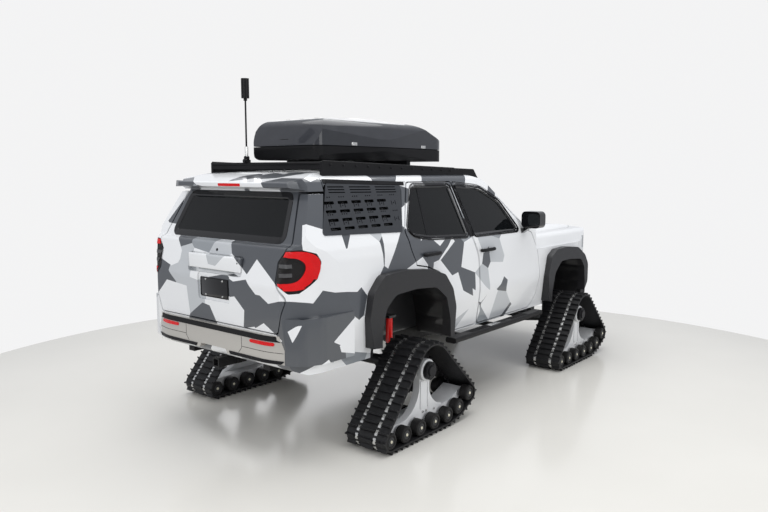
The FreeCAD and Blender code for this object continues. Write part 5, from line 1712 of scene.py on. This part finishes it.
@dataclass
class TrackUnit:
    """One rubber track round its rollers and sprocket, drawn for the left side."""

    shop: Workshop
    end: str
    hand: str
    roller: float = 0.065
    thick: float = 0.012
    lug: float = 0.022
    pitch: float = 0.064
    gap: float = 0.187
    sprocket: float = 0.207
    inner: float = 0.827
    outer: float = 1.210
    clip_offset: float = 0.105
    clip_half: float = 0.0125
    bar_gap: float = 0.020
    rear_reach: float = 2.845  # the last roller's place, in gaps behind the hub
    raised: tuple = ((2.0, 0.030), (2.83, 0.110))  # gaps ahead of the hub, and lift
    clip: tuple = ((-0.024, -0.001), (0.024, -0.001), (0.024, 0.003), (0.017, 0.007),
                   (-0.017, 0.007), (-0.024, 0.003))
    horn: tuple = ((-0.016, 0.001), (-0.007, -0.024), (0.007, -0.024), (0.016, 0.001))
    horn_span: tuple[float, float] = (0.124, 0.146)
    dish: tuple = ((0.004, -0.012), (0.006, 0.006), (0.012, 0.0085), (0.019, 0.0075),
                   (0.022, 0.0015))  # inset from the roller's rim, and height
    bore: float = 0.014
    rim: tuple = ((0.034, 0.0), (0.034, 0.004), (0.029, 0.0055), (0.022, 0.0035),
                  (0.016, 0.0035), (0.014, 0.007))
    cap: tuple = ((0.012, 0.0), (0.012, 0.008), (0.010, 0.011), (0.004, 0.012))
    hub_cap: tuple = ((0.066, -0.002), (0.064, 0.004), (0.046, 0.006), (0.044, 0.016),
                      (0.040, 0.019))
    hub_bolts: int = 6
    hub_circle: float = 0.055
    rib: tuple[float, float] = (0.040, 0.058)
    boss_places: tuple = ((-0.022, 0.075), (0.022, 0.075), (-0.13, 0.055), (0.13, 0.062))
    sleeve: tuple = ((0.088, 0), (0.0895, 0.004), (0.0895, 0.040), (0.085, 0.046))

    def __post_init__(self) -> None:
        """Find the hub and the wheels round it."""
        self.name = f"{self.end}_{self.hand}"
        self.body = f"track_unit_{self.name}"
        self.hub = self.shop.joint(f"track_tilt_{self.name}")
        low = self.roller + self.thick + self.lug
        back = -self.rear_reach * self.gap
        self.wheels = [(back + step * self.gap, low, self.roller) for step in range(5)]
        self.wheels += [(ahead * self.gap, low + lift, self.roller)
                        for ahead, lift in self.raised]
        self.wheels.append((0.0, self.hub.z, self.sprocket))

    def put(self, name: str, shape: Shape, finish: str) -> bpy.types.Object:
        """Place a left-hand shape at this unit's hub.

        Args:
            name: the piece's name without its place.
            shape: the left-hand shape round the hub.
            finish: its finish.

        Returns:
            The new object.
        """
        placed = shape.shifted(self.hub.x, 0, 0)
        if self.hand == "right":
            placed = placed.mirrored()
        return self.shop.piece(f"{name}_{self.name}", placed, finish, self.body)

    def loop(self, grow: float) -> list[tuple]:
        """Runs and bends of the belt line at a height over the wheels.

        Args:
            grow: height over the wheels.

        Returns:
            Length, start, end and bend of each part, in order.
        """
        circles = [self.wheels[index] for index in (0, 4, 5, 6, 7)]
        runs = []
        for index, (x1, z1, r1) in enumerate(circles):
            x2, z2, r2 = circles[(index + 1) % 5]
            span = math.hypot(x2 - x1, z2 - z1)
            out = math.atan2(z2 - z1, x2 - x1) - math.pi / 2 + math.asin((r1 - r2) / span)
            nx, nz = math.cos(out), math.sin(out)
            runs.append(((x1 + nx * (r1 + grow), z1 + nz * (r1 + grow)),
                         (x2 + nx * (r2 + grow), z2 + nz * (r2 + grow))))
        parts = []
        for index, (start, end) in enumerate(runs):
            x, z, size = circles[(index + 1) % 5]
            after = runs[(index + 1) % 5][0]
            parts.append((math.dist(start, end), start, end, None))
            first = math.atan2(end[1] - z, end[0] - x)
            last = math.atan2(after[1] - z, after[0] - x)
            turn = (last - first) % (2 * math.pi)
            parts.append((turn * (size + grow), end, after, (x, z, size + grow, first)))
        return parts

    def spot(self, parts: list[tuple], distance: float) -> tuple[Vector, Vector]:
        """Point and outward direction at a distance along the belt line.

        Args:
            parts: what loop gives.
            distance: how far along.

        Returns:
            The point and the direction.
        """
        for length, start, end, bend in parts:
            if distance <= length:
                if bend is None:
                    share = distance / length
                    first, last = (Vector((x, 0, z)) for x, z in (start, end))
                    along = (last - first) / length
                    return first.lerp(last, share), Vector((along.z, 0, -along.x))
                x, z, size, first = bend
                angle = first + distance / size
                way = Vector((math.cos(angle), 0, math.sin(angle)))
                return Vector((x, 0, z)) + way * size, way
            distance -= length
        return self.spot(parts, 0.0)

    def cross_bar(self, parts: list[tuple], distance: float, profile: Line,
                  low: float, high: float) -> Shape:
        """A bar across the belt with a profile of (along, out) points.

        Args:
            parts: what loop gives.
            distance: how far along.
            profile: the bar's outline as (along, out) points.
            low: its inner end.
            high: its outer end.

        Returns:
            The closed bar.
        """
        point, way = self.spot(parts, distance)
        along = Vector((-way.z, 0, way.x))
        ring = [point + along * part + way * out for part, out in profile]
        return extruded([(spot.x, spot.z) for spot in ring],
                        lambda u, v, depth: Vector((u, depth, v)), low, high)

    def belt(self) -> None:
        """The endless band with its rows of lugs, window clips and guide horns."""
        parts = self.loop(self.thick)
        total = sum(part[0] for part in parts)
        rows = round(total / self.pitch)
        stations = rows * 4
        rings = []
        for index in range(stations):
            point, way = self.spot(parts, total * index / stations)
            inside = point - way * self.thick
            rings.append([Vector((spot.x, y, spot.z)) for spot, y in
                          ((point, self.inner), (point, self.outer), (inside, self.outer),
                           (inside, self.inner))])
        band, clips = lofted(rings, closed=True), Shape()
        tall = self.lug
        lug = ((-0.012, -0.002), (0.012, -0.002), (0.0065, tall * 0.5), (0.0045, tall),
               (-0.0045, tall), (-0.0065, tall * 0.5))
        horn = [(along, out - self.thick) for along, out in self.horn]
        a, b = self.inner + self.clip_offset, self.outer - self.clip_offset
        for index in range(rows):
            distance = total * index / rows
            for low, high in ((self.inner, a - self.bar_gap), (a + self.bar_gap, b - self.bar_gap),
                              (b + self.bar_gap, self.outer)):
                band.add(self.cross_bar(parts, distance, lug, low, high))
            for centre in (a, b):
                clips.add(self.cross_bar(parts, distance, self.clip, centre - self.clip_half,
                                         centre + self.clip_half))
            band.add(self.cross_bar(parts, distance, horn,
                                    *(self.inner + edge for edge in self.horn_span)))
        made = self.put("belt", band, "tread_rubber")
        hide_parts(f"track_{self.name}")
        self.put("belt_clips", clips, "bright_steel")

    def wheels_dress(self) -> None:
        """Dished discs, centre caps and bolts of the rollers and the hub."""
        dishes, rims, caps = Shape(), Shape(), Shape()
        for x, z, size in self.wheels[:-1]:
            dish = [(size - inset, height) for inset, height in self.dish]
            dish.append((self.bore, dish[-1][1]))
            for face, way in ((self.outer - 0.014, 1), (self.inner + 0.014, -1)):
                for group, profile, sides in ((dishes, dish, 36), (rims, self.rim, 28),
                                              (caps, self.cap, 18)):
                    group.add(turned(profile, (x, face, z), (0, way, 0), sides))
        self.put("roller_dishes", dishes, "roller_rubber")
        self.put("roller_rims", rims, "wheel_rim")
        self.put("roller_caps", caps, "cap_ivory")
        face = self.outer - 0.034
        cap = turned(self.hub_cap, (0.0, face, self.hub.z), OUTWARD, 32)
        for angle in turns(self.hub_bolts):
            cap.add(bolt((self.hub_circle * math.cos(angle), face + 0.003,
                          self.hub.z + self.hub_circle * math.sin(angle)), OUTWARD, 0.006))
        self.put("hub_cap", cap, "sprocket_coat")

    def casting(self) -> None:
        """Ribs and bolt bosses on the undercarriage casting."""
        side = self.outer - 0.100
        low = self.wheels[0][1]
        near, far = self.rib
        ribs = joined(block((start, side - 0.004, low + 0.10),
                            (end, side + 0.010, self.hub.z - 0.085), 0.004)
                      for start, end in ((-far, -near), (near, far)))
        self.put("casting_ribs", ribs, "alloy_casting")
        heads = joined(bolt((x, side, low + lift), OUTWARD, 0.009)
                       for x, lift in self.boss_places)
        self.put("casting_bolts", heads, "bright_steel")
        sleeve = turned(self.sleeve, (0, side - 0.008, self.hub.z), OUTWARD, 48)
        self.put("hub_sleeve", sleeve, "alloy_casting")

    def build(self) -> None:
        """Make everything."""
        self.shop.dress(("tread_rubber", f"track_{self.name}"),
                        ("alloy_casting", f"track_frame_{self.name}"),
                        ("roller_rubber", f"track_rollers_{self.name}"),
                        ("sprocket_coat", f"sprocket_{self.name}"))
        self.belt()
        self.wheels_dress()
        self.casting()


@dataclass
class RunningGear:
    """Frame, axles, suspension and what hangs under the floor."""

    shop: Workshop
    cover: tuple = ((0.120, 0), (0.118, 0.010), (0.09, 0.016), (0.03, 0.02))
    cover_bolts: int = 10
    bolt_circle: float = 0.108

    def build(self) -> None:
        """Make everything."""
        self.shop.dress(("frame_paint", "chassis_frame"), ("damper_coat", "dampers"),
                        ("steel_coat", "front_suspension", "rear_axle", "driveline",
                         "knuckle_left", "knuckle_right"),
                        ("engine_cast", "engine_block"), ("grained_black", "fuel_tank"),
                        ("exhaust_steel", "exhaust"))
        axle = self.shop.joint("track_tilt_rear_left")
        cover = turned(self.cover, (axle.x - 0.045, 0, axle.z), BACKWARD, 32)
        for angle in turns(self.cover_bolts):
            cover.add(bolt((axle.x - 0.054, self.bolt_circle * math.cos(angle),
                            axle.z + self.bolt_circle * math.sin(angle)), BACKWARD, 0.007))
        self.shop.piece("axle_cover", cover, "steel_coat")


@dataclass
class Cabin:
    """Seats and dashboard."""

    shop: Workshop
    seats: tuple = (("seat_front_left", 0.08, 0.11, 0.64, 1, Fill.FIRM),
                    ("seat_front_right", 0.08, -0.64, -0.11, 1, Fill.FIRM),
                    ("seat_bench", -0.83, -0.57, 0.57, 3, Fill.MEDIUM))
    bases: tuple = ((0.10, 0.51, 0.16, 0.59), (0.10, 0.51, -0.59, -0.16),
                    (-0.83, -0.40, -0.55, 0.55))
    base_height: tuple[float, float] = (0.752, 0.90)

    @staticmethod
    def pad(low: Sequence[float], high: Sequence[float], pull: float = 0.5,
            cuts: int = 9) -> Shape:
        """A crowned cushion between two corners.

        Args:
            low: the lower corner.
            high: the upper corner.
            pull: how far the faces crown.
            cuts: divisions of each edge.

        Returns:
            The closed cushion.
        """
        mesh = bmesh.new()
        bmesh.ops.create_cube(mesh, size=2.0)
        bmesh.ops.subdivide_edges(mesh, edges=mesh.edges[:], cuts=cuts, use_grid_fill=True)
        low, high = Vector(low), Vector(high)
        half, centre = (high - low) / 2, (high + low) / 2
        for vert in mesh.verts:
            x, y, z = vert.co
            squares = [part * part * pull for part in (x, y, z)]
            round_x = math.sqrt(1 - squares[1] / 2 - squares[2] / 2 + squares[1] * squares[2] / 3)
            round_y = math.sqrt(1 - squares[0] / 2 - squares[2] / 2 + squares[0] * squares[2] / 3)
            round_z = math.sqrt(1 - squares[0] / 2 - squares[1] / 2 + squares[0] * squares[1] / 3)
            vert.co = centre + Vector((x * round_x * half.x, y * round_y * half.y,
                                       z * round_z * half.z))
        return from_bmesh(mesh)

    def seat(self, place: float, low: float, high: float, places: int) -> Shape:
        """Cushions, leaning backs and head restraints of one seat or bench.

        Args:
            place: the cushion's rear edge.
            low: the right edge.
            high: the left edge.
            places: how many sit on it.

        Returns:
            The whole seat.
        """
        whole = Shape()
        lean = (Matrix.Translation((place - 0.02, 0, 1.02)) @ Matrix.Rotation(-0.2, 4, "Y"))
        wide = (high - low) / places
        for index in range(places):
            left = low + index * wide
            whole.add(self.pad((place + 0.0, left, 0.905), (place + 0.48, left + wide, 1.060)))
            whole.add(self.pad((-0.075, left, -0.06), (0.055, left + wide, 0.47)).moved(lean))
            middle = left + wide / 2
            whole.add(self.pad((-0.055, middle - 0.13, 0.485), (0.035, middle + 0.13, 0.60),
                               0.8, 6).moved(lean))
            for side in (-0.05, 0.05):
                whole.add(swept([(-0.01, middle + side, 0.42), (-0.01, middle + side, 0.52)],
                                0.006, 8).moved(lean))
        return whole

    def build(self) -> None:
        """Make everything."""
        self.shop.dress(("seat_weave", "seats"), ("dash_grain", "dashboard"))
        for index, (name, *place, fill) in enumerate(self.seats):
            made = self.shop.piece(name, self.seat(*place), "seat_weave", smooth=80.0)
            if index == 0:
                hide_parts("seats")
        low, high = self.base_height
        bases = joined(block((back, right, low), (ahead, left, high), 0.02)
                       for back, ahead, right, left in self.bases)
        self.shop.piece("seat_bases", bases, "dash_grain")


@dataclass
class Studio:
    """Pale floor, even backdrop, soft lamps and the camera."""

    floor_centre: tuple[float, float] = (-0.65, -0.6)
    floor_radius: float = 5.0
    eye: tuple[float, float, float] = (-5.707, -4.312, 2.078)
    yaw: float = 39.24
    pitch: float = -6.88
    lens: float = 33.09
    sensor: float = 36.0
    backdrop: tuple[float, ...] = (0.90, 0.90, 0.905, 1.0)
    sky: tuple[float, ...] = (0.93, 0.95, 1.0, 1.0)
    sky_strength: float = 0.55
    floor_tones: tuple[Colour, Colour] = ((0.70, 0.685, 0.64), (0.76, 0.745, 0.70))
    panels: tuple = (("overhead", (0.0, 0.0, 6.5), (0.0, 0.0, 0.0), 8.0, 430.0),
                     ("rear_fill", (-8.5, -1.5, 4.0), (0.0, 0.0, 1.0), 4.5, 170.0),
                     ("side_fill", (-1.0, -9.0, 4.2), (0.0, 0.0, 1.0), 5.0, 190.0),
                     ("far_fill", (6.0, 7.0, 4.5), (0.0, 0.0, 1.0), 5.0, 120.0))

    def surroundings(self) -> None:
        """Even pale world: bright to the camera, softer as a light."""
        world = bpy.data.worlds.new("studio")
        bpy.context.scene.world = world
        world.use_nodes = True
        tree = world.node_tree
        back = tree.nodes["Background"]
        seen = tree.nodes.new("ShaderNodeBackground")
        seen.inputs[0].default_value = self.backdrop
        seen.inputs[1].default_value = 1.0
        back.inputs[0].default_value = self.sky
        back.inputs[1].default_value = self.sky_strength
        rays = tree.nodes.new("ShaderNodeLightPath")
        sight = tree.nodes.new("ShaderNodeMath")
        sight.operation = "ADD"
        sight.use_clamp = True
        tree.links.new(rays.outputs["Is Camera Ray"], sight.inputs[0])
        tree.links.new(rays.outputs["Is Transmission Ray"], sight.inputs[1])
        mix = tree.nodes.new("ShaderNodeMixShader")
        tree.links.new(sight.outputs[0], mix.inputs[0])
        tree.links.new(back.outputs[0], mix.inputs[1])
        tree.links.new(seen.outputs[0], mix.inputs[2])
        tree.links.new(mix.outputs[0], tree.nodes["World Output"].inputs[0])

    def floor(self) -> None:
        """A pale, slightly glossy round floor."""
        mesh = bmesh.new()
        bmesh.ops.create_circle(mesh, cap_ends=True, radius=self.floor_radius, segments=160)
        data = bpy.data.meshes.new("studio_floor")
        mesh.to_mesh(data)
        mesh.free()
        made = bpy.data.objects.new("studio_floor", data)
        bpy.context.scene.collection.objects.link(made)
        made.location = (*self.floor_centre, -0.002)
        graph = Graph("studio_floor")
        cloud = graph.noise(0.7, 3.0)
        colour = graph.mix(cloud, *self.floor_tones)
        data.materials.append(graph.finish(base_color=colour, roughness=cloud * 0.1 + 0.12,
                                           specular_ior_level=0.5))

    def lamps(self) -> None:
        """Large soft panels over and beside the vehicle."""
        for name, place, target, size, power in self.panels:
            data = bpy.data.lights.new(name, "AREA")
            data.shape = "SQUARE"
            data.size = size
            data.energy = power
            lamp = bpy.data.objects.new(name, data)
            lamp.location = place
            lamp.rotation_mode = "QUATERNION"
            aim = Vector(target) - Vector(place)
            lamp.rotation_quaternion = aim.to_track_quat("-Z", "Y")
            bpy.context.scene.collection.objects.link(lamp)

    def camera(self) -> None:
        """The view from behind and to the right."""
        data = bpy.data.cameras.new("view")
        data.lens = self.lens
        data.sensor_width = self.sensor
        made = bpy.data.objects.new("view", data)
        made.location = self.eye
        yaw, pitch = math.radians(self.yaw), math.radians(self.pitch)
        ahead = Vector((math.cos(yaw) * math.cos(pitch), math.sin(yaw) * math.cos(pitch),
                        math.sin(pitch)))
        made.rotation_mode = "QUATERNION"
        made.rotation_quaternion = ahead.to_track_quat("-Z", "Y")
        bpy.context.scene.collection.objects.link(made)
        bpy.context.scene.camera = made

    def build(self) -> None:
        """Make everything."""
        bpy.context.scene.view_settings.view_transform = "Standard"
        self.surroundings()
        self.floor()
        self.lamps()
        self.camera()


def main() -> None:
    """Build the vehicle round its frame, piece by piece."""
    logging.basicConfig(level=logging.INFO, format="%(name)s: %(message)s")
    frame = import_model()
    for item in frame["nodes"].values():
        item.data.set_sharp_from_angle(angle=math.radians(32))
    shop = Workshop(frame, Palette())
    Studio().build()
    Coachwork(shop).build()
    TailEnd(shop).build()
    FrontEnd(shop).build()
    RoofKit(shop).build()
    for end in ("front", "rear"):
        for hand in HANDS:
            TrackUnit(shop, end, hand).build()
    RunningGear(shop).build()
    Cabin(shop).build()
    LOG.info("%d faces added to the frame", shop.faces)


if __name__ == "__main__":
    main()
